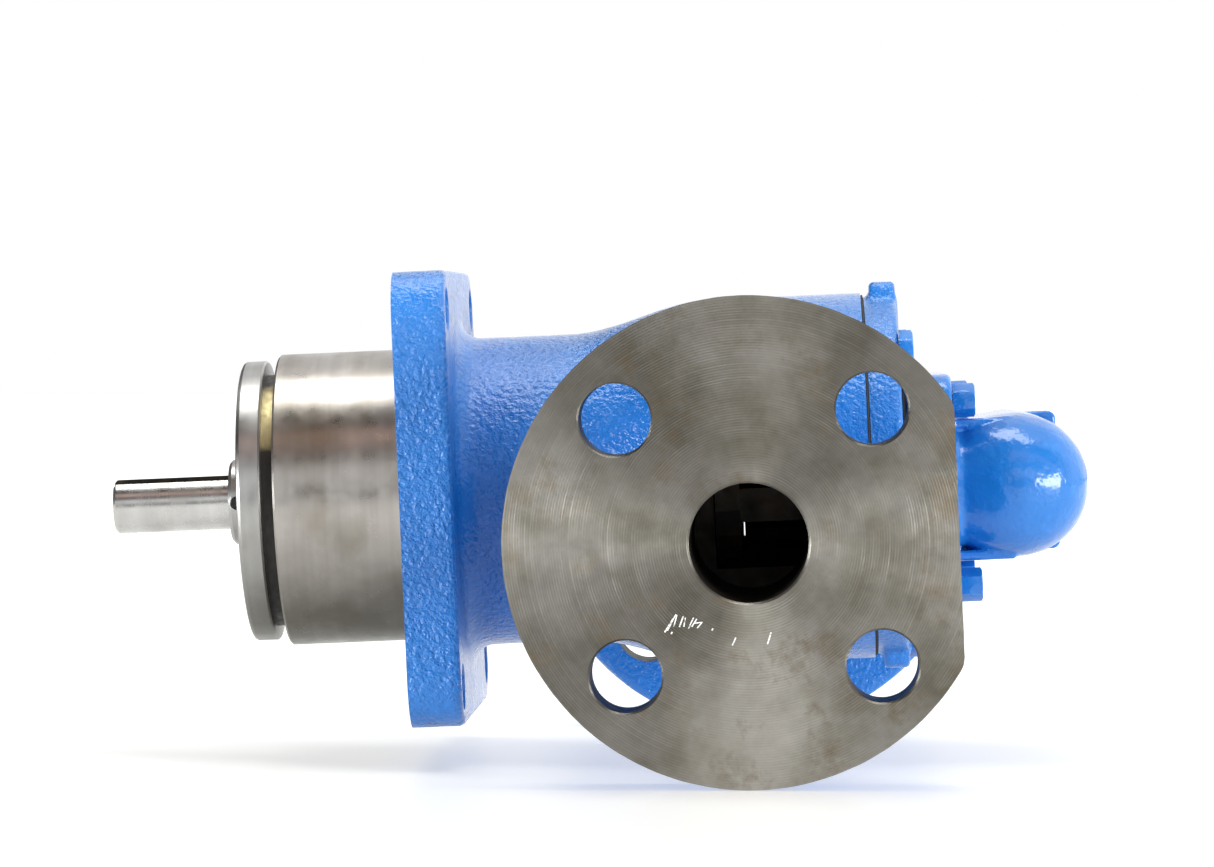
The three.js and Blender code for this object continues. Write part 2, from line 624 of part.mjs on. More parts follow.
// ---- relief valve, drawn about its own axis, which runs along Y ----
function makeValveBody() {
  const plateShape = roundedRectangle(
    -PLATE_HALF_WIDTH, PLATE_HALF_WIDTH, PLATE_BOTTOM - VALVE_Z, PLATE_TOP - VALVE_Z, PLATE_CORNER);
  const plate = solid(slab(plateShape, PLATE_START - VALVE_X, PLATE_END - VALVE_X));
  const domeProfile = [];
  const domeSteps = 7;
  for (let step = 0; step <= domeSteps; step += 1) {
    const angle = step / domeSteps * Math.PI / 2;
    domeProfile.push([VALVE_NEAR - VALVE_R * Math.cos(angle), VALVE_R * Math.sin(angle)]);
  }
  const barrel = solid(turnedY([...domeProfile, [VALVE_FAR, VALVE_R], [VALVE_FAR, 0]]));
  const plateSide = PLATE_END - VALVE_X - 1;
  const webs = WEBS_LOW.map((low) => (
    solid(block([plateSide, WEB_NEAR, low], [0, WEB_FAR, low + WEB_THICK]))
  ));
  const roundNeck = solid(rod(VALVE_NECK_R, plateSide, 0).translate(0, VALVE_NEAR, 0));
  const neck = solid(block([plateSide, VALVE_NEAR, -VALVE_NECK_R], [0, VALVE_NECK_END, VALVE_NECK_R]));

  const headSide = PLATE_START - VALVE_X - 1;
  const tools = [
    solid(rodY(VALVE_BORE_R, VALVE_BORE_START, VALVE_FAR + 1)),
    solid(rodY(VALVE_INLET_R, VALVE_NEAR - 3, VALVE_BORE_START + 1, SMALL)),
    solid(rod(PASSAGE_R, headSide, VALVE_INLET_R - 3, SMALL).translate(0, PASSAGES_Y[0], 0)),
    solid(rod(PASSAGE_R, headSide, 6 - VALVE_BORE_R, SMALL).translate(0, PASSAGES_Y[1], 0)),
  ];
  for (const y of [-VALVE_BOLT_Y, VALVE_BOLT_Y]) {
    for (const z of VALVE_BOLTS_Z) {
      const drill = rod(VALVE_BOLT.shank + TOUCH_GAP, headSide, PLATE_END - VALVE_X + 1, TINY);
      tools.push(solid(drill.translate(0, y, z)));
    }
  }
  return cut(joined(plate, barrel, roundNeck, neck, ...webs), ...tools);
}

function makeValveGasket() {
  const inset = 0.6;
  const shape = roundedRectangle(-PLATE_HALF_WIDTH + inset, PLATE_HALF_WIDTH - inset,
    PLATE_BOTTOM - VALVE_Z + inset, PLATE_TOP - VALVE_Z - inset, PLATE_CORNER);
  const [from, to] = [HEAD_END + TOUCH_GAP - VALVE_X, PLATE_START - TOUCH_GAP - VALVE_X];
  const tools = PASSAGES_Y.map((y) => (
    solid(rod(PASSAGE_R + 0.5, from - 1, to + 1, SMALL).translate(0, y, 0))
  ));
  for (const y of [-VALVE_BOLT_Y, VALVE_BOLT_Y]) {
    for (const z of VALVE_BOLTS_Z) {
      tools.push(solid(rod(VALVE_BOLT.shank + TOUCH_GAP, from - 1, to + 1, TINY).translate(0, y, z)));
    }
  }
  return cut(solid(slab(shape, from, to)), ...tools);
}

function makeBonnet() {
  const outline = roundedRectangle(
    -BONNET_WIDTH / 2, BONNET_WIDTH / 2, -BONNET_HEIGHT / 2, BONNET_HEIGHT / 2, BONNET_CORNER);
  const start = VALVE_FAR + TOUCH_GAP;
  const depth = BONNET_END - start;
  const flange = new THREE.ExtrudeGeometry(outline, { depth, bevelEnabled: false, curveSegments: 4 })
    .rotateX(Math.PI / 2).translate(0, BONNET_END, -BONNET_DROP);
  const spigot = solid(rodY(VALVE_BORE_R - TOUCH_GAP, VALVE_FAR - 5, start + 1));
  const screwHole = solid(rodY(SCREW_R + TOUCH_GAP, VALVE_FAR - 8, BONNET_END + 1, SMALL));
  return cut(joined(solid(flange), spigot), screwHole);
}

function makeLockNut() {
  const start = BONNET_END + TOUCH_GAP;
  const nut = solid(slab(hexagon(LOCK_NUT_ACROSS), start, LOCK_NUT_END).rotateZ(Math.PI / 2));
  return cut(nut, solid(rodY(SCREW_R + TOUCH_GAP, start - 1, LOCK_NUT_END + 1, SMALL)));
}

function makeCapNut() {
  const start = LOCK_NUT_END + TOUCH_GAP;
  const innerR = SCREW_R + 1.2;
  const inside = CAP_NUT_END - CAP_NUT_WALL;
  return solid(turnedY([
    [start, innerR], [start, CAP_NUT_R], [CAP_NUT_END - 2.5, CAP_NUT_R], [CAP_NUT_END - 0.7, CAP_NUT_R - 0.9],
    [CAP_NUT_END, CAP_NUT_R - 3], [CAP_NUT_END, 0], [inside, 0], [inside, innerR], [start, innerR],
  ], SMALL));
}

function makeAdjustingScrew() {
  const screw = solid(rodY(SCREW_R, SCREW_START, SCREW_END, SMALL));
  const half = SCREW_SLOT_WIDTH / 2;
  const slot = block([-half, SCREW_END - SCREW_SLOT_DEPTH, -SCREW_R - 1], [half, SCREW_END + 1, SCREW_R + 1]);
  return cut(screw, solid(slot));
}

function makePoppet() {
  const discEnd = -1;
  const stemR = 4.6;
  const stemEnd = 6;
  return solid(turnedY([
    [POPPET_FACE, 0], [POPPET_FACE, POPPET_R - 1.5], [POPPET_FACE + 1.5, POPPET_R], [discEnd, POPPET_R],
    [discEnd, stemR], [stemEnd, stemR], [stemEnd, 0],
  ], SMALL));
}

// ---- the pump ----
const pump = new THREE.Group();

const rotorEnd = CASING_END - 0.35;
const idlerStart = CAVITY_START + ROTOR_DISC_THICK + 1;

pump.add(
  piece('pump_casing', makeCasing(), 'paint'),
  piece('bearing_carrier', makeCarrier(), 'turned'),
  piece('end_cap', makeEndCap(), 'turned'),
  piece('lip_seal', makeLipSeal(), 'rubber'),
  piece('bearing_outer_race', bearingRace(OUTER_RACE_BORE_R, BEARING_R, -1), 'bright'),
  piece('shaft_bushing', makeShaftBushing(), 'carbon'),
  piece('seal_seat', makeSealSeat(), 'fibre'),
);

const turning = new THREE.Group();
turning.add(
  piece('drive_shaft', makeShaft(), 'bright'),
  piece('shaft_collar', makeCollar(), 'machined'),
  piece('collar_set_screw', makeSetScrew(), 'carbon'),
  piece('bearing_inner_race', bearingRace(BEARING_BORE_R, INNER_RACE_R, 1), 'bright'),
  piece('seal_face_ring', makeSealFaceRing(), 'carbon'),
  piece('seal_spring', solid(coil(SEAL_SPRING)), 'bright'),
  piece('rotor', makeRotor(rotorEnd), 'machined'),
);
pump.add(turning);
pump.add(piece('bearing_balls_and_cage', makeBallCage(), 'bronze'));

const idlerLine = new THREE.Group();
idlerLine.position.z = IDLER_OFFSET;
idlerLine.add(
  piece('idler_gear', makeIdler(idlerStart, rotorEnd), 'machined'),
  piece('idler_bushing', makeIdlerBushing(idlerStart, rotorEnd), 'carbon'),
  piece('idler_pin', solid(rod(IDLER_PIN_R, idlerStart + 0.5, HEAD_END - 0.2, SMALL)), 'bright'),
);
pump.add(idlerLine);

pump.add(piece('head_gasket', makeHeadGasket(), 'fibre'), piece('head', makeHead(), 'paint'));
HEAD_BOLT_ANGLES.forEach((degrees, index) => {
  const bolt = piece(`head_bolt_${index + 1}`, makeBolt(HEAD_BOLT), 'paint');
  const [y, z] = onCircle(HEAD_BOLT_CIRCLE_R, degrees);
  bolt.position.set(HEAD_END + TOUCH_GAP, y, z);
  pump.add(bolt);
});

const valve = new THREE.Group();
valve.position.set(VALVE_X, 0, VALVE_Z);
valve.add(
  piece('valve_gasket', makeValveGasket(), 'fibre'),
  piece('valve_body', makeValveBody(), 'paint'),
  piece('valve_bonnet', makeBonnet(), 'paint'),
  piece('lock_nut', makeLockNut(), 'paint'),
  piece('valve_cap', makeCapNut(), 'paint'),
  piece('adjusting_screw', makeAdjustingScrew(), 'bright'),
  piece('spring_seat', solid(rodY(SPRING_SEAT_R, SPRING_SEAT_START, SCREW_START - TOUCH_GAP)), 'bright'),
  piece('valve_poppet', makePoppet(), 'bronze'),
  piece('valve_spring', solid(coil(VALVE_SPRING).rotateZ(Math.PI / 2)), 'bright'),
);
let valveBoltNumber = 1;
for (const y of [-VALVE_BOLT_Y, VALVE_BOLT_Y]) {
  for (const z of VALVE_BOLTS_Z) {
    const bolt = piece(`valve_bolt_${valveBoltNumber}`, makeBolt(VALVE_BOLT), 'paint');
    bolt.position.set(PLATE_END - VALVE_X + TOUCH_GAP, y, z);
    valve.add(bolt);
    valveBoltNumber += 1;
  }
}
pump.add(valve);

export default pump;
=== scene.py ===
# Studio view of a blue internal gear pump with flanged side ports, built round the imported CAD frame.
import math

import bmesh
import bpy
import numpy as np
from mathutils import Matrix, Vector, noise


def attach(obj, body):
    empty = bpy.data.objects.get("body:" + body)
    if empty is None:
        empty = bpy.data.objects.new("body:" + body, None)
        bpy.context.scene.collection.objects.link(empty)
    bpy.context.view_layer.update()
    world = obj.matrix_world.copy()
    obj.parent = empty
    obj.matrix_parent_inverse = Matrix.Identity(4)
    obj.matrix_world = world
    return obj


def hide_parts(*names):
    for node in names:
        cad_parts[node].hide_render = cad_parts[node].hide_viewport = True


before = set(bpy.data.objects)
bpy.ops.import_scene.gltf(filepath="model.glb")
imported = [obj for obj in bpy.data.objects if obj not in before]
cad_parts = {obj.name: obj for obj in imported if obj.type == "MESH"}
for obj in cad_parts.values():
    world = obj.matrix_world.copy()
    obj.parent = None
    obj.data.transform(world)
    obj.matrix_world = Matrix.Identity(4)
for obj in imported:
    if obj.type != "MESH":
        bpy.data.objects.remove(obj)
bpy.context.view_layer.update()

MM = 0.001

# ---- sizes in millimetres, in the frame of the CAD model ----
FLANGE_SIDE = 104.4
FLANGE_THICK = 12.2
FLANGE_CORNER = 12.0
FLANGE_HOLE_SPACING = 86.0
FLANGE_HOLE_R = 5.0

PORT_X = 79.2
PORT_Z = -10.8
PORT_FACE = 95.25
PORT_FLANGE_R = 53.975
PORT_FLANGE_THICK = 18.0
PORT_FLAT = 45.9
PORT_HOLE_CIRCLE_R = 39.69
PORT_HOLE_R = 7.94
PORT_BORE_R = 13.1
PORT_NECK_R = 22.0

NECK_R = 36.2
BODY_R = 43.0
FLARE_START = 38.0
FLARE_END = 72.0
CASING_END = 106.85
CAVITY_START = 70.9
CAVITY_R = 34.3

HEAD_START = 107.55
HEAD_END = 115.0
HEAD_R = 42.0
LUG_TOP = 45.4
LUG_HALF_WIDTH = 8.0
CRESCENT_START = 77.8
CRESCENT_R = 23.00
CRESCENT_HALF_ANGLE = 62
IDLER_OFFSET = 7.5
IDLER_ROOM_R = 23.5

VALVE_X = 141.2
VALVE_Z = -3.1
VALVE_R = 16.5
VALVE_NEAR = -17.0
VALVE_FAR = 34.0
PLATE_START = 116.2
PLATE_END = 126.7
PLATE_TOP = 23.3
PLATE_BOTTOM = -31.3
PLATE_HALF_WIDTH = 31.0
PLATE_CORNER = 8.0
WEB_THICK = 2.3
WEBS_LOW = (13.6, -17.0)
VALVE_NECK_R = 12.5
VALVE_BOLTS_Z = (-22.4, 20.2)
VALVE_BOLT_Y = 25.0
HEAD_BOLT_CIRCLE_R = 38.6
HEAD_BOLT_ANGLES = (41, 109, 180, 251, 319)
REGISTER_DEPTH = 2.5
BONNET_DROP = 0.9
KEYWAY_TURN = 18.0

CARRIER_START = -30.6
CARRIER_R = 34.35
CAP_START = -39.2
CAP_END = -33.6
CAP_R = 33.0
CAP_NECK_R = 29.7
SHAFT_START = -71.3
SHAFT_R = 6.35
KEYWAY_WIDTH = 3.2
KEYWAY_DEPTH = 1.9
KEYWAY_END = -47.0

# The camera that fits the reference view: place in millimetres, angles in degrees.
CAMERA_PLACE = (91.3, -1222.3, 37.1)
CAMERA_YAW = 2.129
CAMERA_PITCH = -1.156
CAMERA_ROLL = -2.451
FOCAL_PIXELS = 5177.4
IMAGE_WIDTH = 1214
SENSOR_WIDTH = 36.0


# ---- distance fields for the castings ----
def extruded(outline, along, low, high, rounding):
    """Distance to an outline pulled from low to high along one axis, with rounded edges."""
    across = outline + rounding
    lengthwise = np.abs(along - (low + high) / 2) - (high - low) / 2 + rounding
    outside = np.hypot(np.maximum(across, 0), np.maximum(lengthwise, 0))
    return outside + np.minimum(np.maximum(across, lengthwise), 0) - rounding


def rectangle(u, v, low, high, corner):
    """Distance to a rounded rectangle with corners low=(u, v) and high=(u, v)."""
    du = np.abs(u - (low[0] + high[0]) / 2) - (high[0] - low[0]) / 2 + corner
    dv = np.abs(v - (low[1] + high[1]) / 2) - (high[1] - low[1]) / 2 + corner
    return np.hypot(np.maximum(du, 0), np.maximum(dv, 0)) + np.minimum(np.maximum(du, dv), 0) - corner


def filleted(a, b, radius):
    """Union of two fields with a fillet of that radius between them."""
    bend = np.hypot(np.maximum(radius - a, 0), np.maximum(radius - b, 0))
    return np.maximum(radius, np.minimum(a, b)) - bend


def both(a, b, radius):
    """Intersection of two fields with a rounded edge."""
    return -filleted(-a, -b, radius)


def casing_field(x, y, z):
    radial = np.hypot(y, z)
    t = np.clip((x - FLARE_START) / (FLARE_END - FLARE_START), 0, 1)
    body_radius = NECK_R + (BODY_R - NECK_R) * (1 - np.cos(math.pi * t)) / 2
    body = extruded((radial - body_radius) * 0.96, x, 3, CASING_END + 2, 0.5)
    side = FLANGE_SIDE / 2
    square = rectangle(y, z, (-side, -side), (side, side), FLANGE_CORNER)
    mounting = extruded(square, x, -2, FLANGE_THICK, 1.3)
    port_radial = np.hypot(x - PORT_X, z - PORT_Z)
    neck = extruded(port_radial - PORT_NECK_R, y, -PORT_FACE + 8, PORT_FACE - 8, 1)
    reach = np.abs(y)
    rim = extruded(port_radial - PORT_FLANGE_R, reach, PORT_FACE - PORT_FLANGE_THICK, PORT_FACE + 4, 1.6)
    rim = both(rim, x - (PORT_X + PORT_FLAT), 1.0)
    whole = filleted(body, mounting, 5)
    whole = filleted(whole, neck, 7)
    return filleted(whole, rim, 5)


def head_field(x, y, z):
    plate = extruded(np.hypot(y, z) - HEAD_R, x, HEAD_START - 2, HEAD_END, 1.1)
    high = (LUG_HALF_WIDTH, LUG_TOP)
    lug = rectangle(y, np.abs(z), (-LUG_HALF_WIDTH, HEAD_R - 14), high, 3)
    lug = extruded(lug, x, HEAD_START + 1.4, HEAD_END, 1.2)
    return filleted(plate, lug, 1.6)


def valve_field(x, y, z):
    plate = rectangle(y, z, (-PLATE_HALF_WIDTH, PLATE_BOTTOM), (PLATE_HALF_WIDTH, PLATE_TOP), PLATE_CORNER)
    plate = extruded(plate, x, PLATE_START - 2, PLATE_END, 1.4)
    beyond = np.minimum(y - VALVE_NEAR, 0)
    barrel = np.sqrt((x - VALVE_X) ** 2 + (z - VALVE_Z) ** 2 + beyond ** 2) - VALVE_R
    barrel = both(barrel, y - VALVE_FAR, 1.0)
    neck = np.hypot(np.minimum(y - VALVE_NEAR, 0), z - VALVE_Z) - VALVE_NECK_R
    neck = np.maximum(neck, y - VALVE_FAR + 8)
    neck = extruded(neck, x, PLATE_END - 3, VALVE_X, 0.5)
    plate_and_neck = filleted(plate, neck, 2.6)
    whole = filleted(plate_and_neck, barrel, 6.0)
    for low in WEBS_LOW:
        web = np.abs(z - VALVE_Z - low - WEB_THICK / 2) - WEB_THICK / 2
        web = extruded(web, x, PLATE_END - 2, VALVE_X - 1, 0.6)
        web = both(web, np.abs(y - 2.5) - 25.5, 0.8)
        whole = filleted(whole, web, 0.8)
    return whole


# ---- a closed mesh from a field, by surface nets ----
CELL_CORNERS = [(i, j, k) for i in (0, 1) for j in (0, 1) for k in (0, 1)]
CELL_EDGES = [
    (a, b)
    for a in range(8)
    for b in range(a + 1, 8)
    if sum(p != q for p, q in zip(CELL_CORNERS[a], CELL_CORNERS[b])) == 1
]


def surface_net(field, low, high, step):
    """Points and quads of the surface where the field is zero, inside the box low to high."""
    axes = [np.arange(low[n], high[n] + step, step) for n in range(3)]
    grid = np.meshgrid(*axes, indexing="ij")
    values = field(*grid)
    inside = values < 0
    shape = [n - 1 for n in inside.shape]
    count = np.zeros(shape, dtype=np.int8)
    for i, j, k in CELL_CORNERS:
        count += inside[i : i + shape[0], j : j + shape[1], k : k + shape[2]]
    cells = np.argwhere((count > 0) & (count < 8))
    corner_values = np.stack(
        [values[cells[:, 0] + i, cells[:, 1] + j, cells[:, 2] + k] for i, j, k in CELL_CORNERS], axis=1)
    total = np.zeros((len(cells), 3))
    crossings = np.zeros(len(cells))
    for a, b in CELL_EDGES:
        va, vb = corner_values[:, a], corner_values[:, b]
        crossed = (va < 0) != (vb < 0)
        t = np.where(crossed, va / np.where(crossed, va - vb, 1), 0)
        start, end = np.array(CELL_CORNERS[a], float), np.array(CELL_CORNERS[b], float)
        total += np.where(crossed[:, None], start + t[:, None] * (end - start), 0)
        crossings += crossed
    points = np.array([axis[0] for axis in axes]) + step * (cells + total / crossings[:, None])
    points = settle(field, points, 0.1 * step)

    number = np.full(shape, -1, dtype=np.int64)
    number[tuple(cells.T)] = np.arange(len(cells))
    quads = []
    for axis in range(3):
        one, two = [(1, 2), (2, 0), (0, 1)][axis]
        ahead = np.take(inside, range(1, inside.shape[axis]), axis=axis)
        behind = np.take(inside, range(inside.shape[axis] - 1), axis=axis)
        for crossing, flipped in ((behind & ~ahead, False), (ahead & ~behind, True)):
            at = np.argwhere(crossing)
            at = at[(at[:, one] > 0) & (at[:, two] > 0)]
            ring = []
            for back_one, back_two in ((1, 1), (0, 1), (0, 0), (1, 0)):
                cell = at.copy()
                cell[:, one] -= back_one
                cell[:, two] -= back_two
                ring.append(number[tuple(cell.T)])
            quad = np.stack(ring[::-1] if flipped else ring, axis=1)
            quads.append(quad)
    return points, np.concatenate(quads)


def settle(field, points, delta, rounds=3):
    """Moves points onto the field's zero surface along its gradient."""
    for _ in range(rounds):
        value = field(*points.T)
        slope = np.stack([
            field(*(points + delta * unit).T) - field(*(points - delta * unit).T) for unit in np.eye(3)
        ], axis=1) / (2 * delta)
        length = np.linalg.norm(slope, axis=1, keepdims=True)
        points = points - slope / np.maximum(length, 0.3) ** 2 * value[:, None]
    return points


def roughened(points, normals, height, size, seed):
    """Shifts points along their normals by smooth noise, as a sand casting's skin does."""
    shifts = np.empty(len(points))
    offset = Vector((seed * 13.7, seed * 7.1, seed * 3.3))
    for index, point in enumerate(points):
        place = Vector(point)
        coarse = noise.noise(place / size + offset)
        shifts[index] = coarse + 0.45 * noise.noise(place / (size * 0.42) + offset)
    return points + normals * (shifts * height)[:, None]


def field_normals(field, points, delta=0.2):
    slope = np.stack([
        field(*(points + delta * unit).T) - field(*(points - delta * unit).T) for unit in np.eye(3)
    ], axis=1)
    return slope / np.maximum(np.linalg.norm(slope, axis=1, keepdims=True), 1e-9)


# ---- mesh helpers ----
def new_object(name, points, faces):
    """Points are in millimetres."""
    mesh = bpy.data.meshes.new(name)
    mesh.from_pydata((np.asarray(points, float) * MM).tolist(), [], [list(map(int, f)) for f in faces])
    mesh.validate()
    mesh.update()
    made = bpy.data.objects.new(name, mesh)
    bpy.context.scene.collection.objects.link(made)
    return made


def cast_object(name, field, low, high, step, height=0.07, size=4.0, seed=1):
    points, quads = surface_net(field, low, high, step)
    points = roughened(points, field_normals(field, points), height, size, seed)
    return new_object(name, points, quads)


AXES = {
    "x": np.array([[0, 0, 1], [1, 0, 0], [0, 1, 0]], float),
    "y": np.array([[0, 1, 0], [0, 0, 1], [1, 0, 0]], float),
}


def lathe(name, profile, axis="x", place=(0, 0, 0), sides=96):
    """Turns (along, radius) points round an axis. They start and end on it, or close on themselves."""
    closed = profile[0] == profile[-1] and profile[0][1] > 0
    ring_points = profile[:-1] if closed else profile
    turn = AXES[axis]
    points, rings = [], []
    for along, radius in ring_points:
        if radius == 0:
            rings.append([len(points)] * sides)
            points.append(turn @ np.array([0, 0, along]))
            continue
        rings.append(list(range(len(points), len(points) + sides)))
        for side in range(sides):
            angle = 2 * math.pi * side / sides
            points.append(turn @ np.array([radius * math.cos(angle), radius * math.sin(angle), along]))
    faces = []
    last = len(rings) if closed else len(rings) - 1
    for index in range(last):
        here, there = rings[index], rings[(index + 1) % len(rings)]
        for side in range(sides):
            ahead = (side + 1) % sides
            corners = [here[side], here[ahead], there[ahead], there[side]]
            face = [c for n, c in enumerate(corners) if c != corners[n - 1]]
            if len(face) > 2:
                faces.append(face)
    made = new_object(name, np.array(points) + np.array(place), faces)
    face_outwards(made)
    return made


def face_outwards(made):
    work = bmesh.new()
    work.from_mesh(made.data)
    bmesh.ops.recalc_face_normals(work, faces=work.faces)
    work.to_mesh(made.data)
    work.free()


def prism(name, outline, low, high, axis="x", place=(0, 0, 0), edge=0.0, segments=3):
    """An outline of (u, v) points pulled along an axis, with its sharp edges rounded by edge millimetres."""
    turn = AXES[axis]
    count = len(outline)
    points = [turn @ np.array([u, v, along]) for along in (low, high) for u, v in outline]
    faces = [list(range(count))[::-1], list(range(count, 2 * count))]
    for index in range(count):
        ahead = (index + 1) % count
        faces.append([index, ahead, count + ahead, count + index])
    made = new_object(name, np.array(points) + np.array(place), faces)
    face_outwards(made)
    if edge:
        round_edges(made, edge, segments)
    return made


def round_edges(made, edge, segments=3, angle=30):
    bevel = made.modifiers.new("edges", "BEVEL")
    bevel.width = edge * MM
    bevel.segments = segments
    bevel.limit_method = "ANGLE"
    bevel.angle_limit = math.radians(angle)
    apply_modifiers(made)


def apply_modifiers(made):
    """Replaces an object's mesh with its evaluated one."""
    seen = made.evaluated_get(bpy.context.evaluated_depsgraph_get())
    mesh = bpy.data.meshes.new_from_object(seen)
    old = made.data
    made.modifiers.clear()
    made.data = mesh
    bpy.data.meshes.remove(old)


def merged(name, parts):
    """One object holding the meshes of several, which are removed."""
    work = bmesh.new()
    for part in parts:
        work.from_mesh(part.data)
        bpy.data.objects.remove(part)
    mesh = bpy.data.meshes.new(name)
    work.to_mesh(mesh)
    work.free()
    made = bpy.data.objects.new(name, mesh)
    bpy.context.scene.collection.objects.link(made)
    return made


def boolean(base, tool, operation="DIFFERENCE"):
    change = base.modifiers.new("boolean", "BOOLEAN")
    change.operation = operation
    change.solver = "MANIFOLD"
    change.object = tool
    apply_modifiers(base)
    bpy.data.objects.remove(tool)
    return base


def shade(made, angle=32):
    """Smooth shading with edges sharper than the angle kept crisp."""
    mesh = made.data
    mesh.polygons.foreach_set("use_smooth", [True] * len(mesh.polygons))
    work = bmesh.new()
    work.from_mesh(mesh)
    limit = math.radians(angle)
    for edge in work.edges:
        sharp = len(edge.link_faces) == 2 and edge.calc_face_angle(0) > limit
        edge.smooth = not sharp
    work.to_mesh(mesh)
    work.free()
    mesh.update()
    return made


def box(name, low, high):
    outline = [(low[1], low[2]), (high[1], low[2]), (high[1], high[2]), (low[1], high[2])]
    return prism(name, outline, low[0], high[0])


def on_circle(radius, degrees):
    angle = math.radians(degrees)
    return radius * math.sin(angle), radius * math.cos(angle)


def hole_profile(radius, low, high, chamfer, chamfered):
    """A drill's profile; chamfered lists the ends that are countersunk, at low, high or both faces."""
    over = 3.0
    profile = [(low - over, 0)]
    if "low" in chamfered:
        profile += [(low - over, radius + chamfer + over), (low + chamfer, radius)]
    else:
        profile += [(low - over, radius)]
    if "high" in chamfered:
        profile += [(high - chamfer, radius), (high + over, radius + chamfer + over)]
    else:
        profile += [(high + over, radius)]
    return profile + [(high + over, 0)]


# ---- materials ----
RING_PITCH = 0.6
# Painted highlight fans and painted shade on a port face: how far its colour is lightened in each direction
# from the port, 0 and 1 are -X, 0.25 down, 0.5 +X, 0.75 up.
PAINTED_FAN_SECTORS = [
    (0.0, 0.30), (0.03, 0.04), (0.10, 0.05), (0.17, 0.22), (0.22, 0.90), (0.28, 0.95), (0.34, 0.55),
    (0.42, 0.40), (0.50, 0.28), (0.55, 0.28), (0.61, 0.08), (0.67, 0.12), (0.72, 0.50), (0.77, 0.45),
    (0.83, 0.22), (0.90, 0.22), (0.96, 0.36), (1.0, 0.30),
]
# Scratches on the near port face: middle from the port centre (x, z), slope in degrees, length and width.
SCRATCHES = [
    (-18.1, -17.2, 55, 3.6, 0.34), (-17.5, -16.6, 60, 4.0, 0.26), (-16.7, -16.3, 72, 2.7, 0.26),
    (-15.4, -16.5, 68, 2.5, 0.30), (-14.7, -16.7, 78, 2.0, 0.26), (-13.3, -16.9, 62, 2.6, 0.28),
    (-12.6, -16.9, 55, 2.1, 0.26), (-11.6, -16.9, 5, 1.8, 0.24), (-11.5, -17.5, 47, 1.5, 0.26),
    (-17.6, -18.9, 60, 0.5, 0.34), (-8.7, -18.5, 60, 0.5, 0.30), (-4.1, -21.3, 63, 1.9, 0.30),
    (3.6, -20.9, 70, 2.7, 0.32),
]

class Graph:
    """Short names for building a node tree. place is where its noise is measured from."""

    def __init__(self, tree, coordinates):
        self.tree = tree
        self.tree.nodes.clear()
        self.place = self.add("TexCoord").outputs[coordinates]

    def add(self, kind):
        return self.tree.nodes.new("ShaderNode" + kind)

    def connect(self, source, socket):
        self.tree.links.new(source, socket)

    def fill(self, sockets, values):
        """Puts each value into its socket: a number, a tuple, or another node's output."""
        for socket, value in zip(sockets, values):
            if isinstance(value, (int, float)):
                socket.default_value = value
            elif isinstance(value, tuple):
                socket.default_value = (*value, 1) if socket.type == "RGBA" else value
            else:
                self.connect(value, socket)

    def maths(self, operation, *values):
        node = self.add("Math")
        node.operation = operation
        self.fill(node.inputs, values)
        return node.outputs[0]

    def vector(self, operation, *values):
        node = self.add("VectorMath")
        node.operation = operation
        self.fill(node.inputs, values)
        return node.outputs["Value"] if operation in ("LENGTH", "DOT_PRODUCT") else node.outputs["Vector"]

    def split(self, vector):
        node = self.add("SeparateXYZ")
        self.connect(vector, node.inputs[0])
        return node.outputs

    def noise(self, size, detail=3.0, roughness=0.55, vector=None):
        """Smooth noise whose features are about size millimetres."""
        node = self.add("TexNoise")
        node.inputs["Scale"].default_value = 1 / (size * MM)
        node.inputs["Detail"].default_value = detail
        node.inputs["Roughness"].default_value = roughness
        self.connect(vector or self.place, node.inputs["Vector"])
        return node.outputs["Fac"]

    def ramp(self, value, stops):
        """Stops are (position, grey) or (position, (red, green, blue))."""
        node = self.add("ValToRGB")
        elements = node.color_ramp.elements
        while len(elements) < len(stops):
            elements.new(0.5)
        for element, (position, colour) in zip(elements, stops):
            element.position = position
            if isinstance(colour, (int, float)):
                colour = (colour, colour, colour)
            element.color = (*colour, 1)
        self.connect(value, node.inputs[0])
        return node.outputs[0]

    def blend(self, amount, first, second):
        node = self.add("Mix")
        node.data_type = "RGBA"
        self.fill((node.inputs[0], node.inputs[6], node.inputs[7]), (amount, first, second))
        return node.outputs[2]

    def stretched(self, scale):
        return self.vector("MULTIPLY", self.place, scale)

    def bump(self, height, distance, below=None):
        """Bumps distance millimetres deep, over those of another bump node."""
        node = self.add("Bump")
        node.inputs["Distance"].default_value = distance * MM
        self.connect(height, node.inputs["Height"])
        if below is not None:
            self.connect(below, node.inputs["Normal"])
        return node.outputs[0]


class Nodes(Graph):
    """A material with one principled shader."""

    def __init__(self, name):
        self.material = bpy.data.materials.new(name)
        self.material.use_nodes = True
        super().__init__(self.material.node_tree, "Object")
        self.shader = self.add("BsdfPrincipled")
        self.connect(self.shader.outputs[0], self.add("OutputMaterial").inputs["Surface"])

    def set(self, **values):
        for name, value in values.items():
            self.shader.inputs[name.replace("_", " ")].default_value = value

    def link(self, source, name):
        self.connect(source, self.shader.inputs[name])


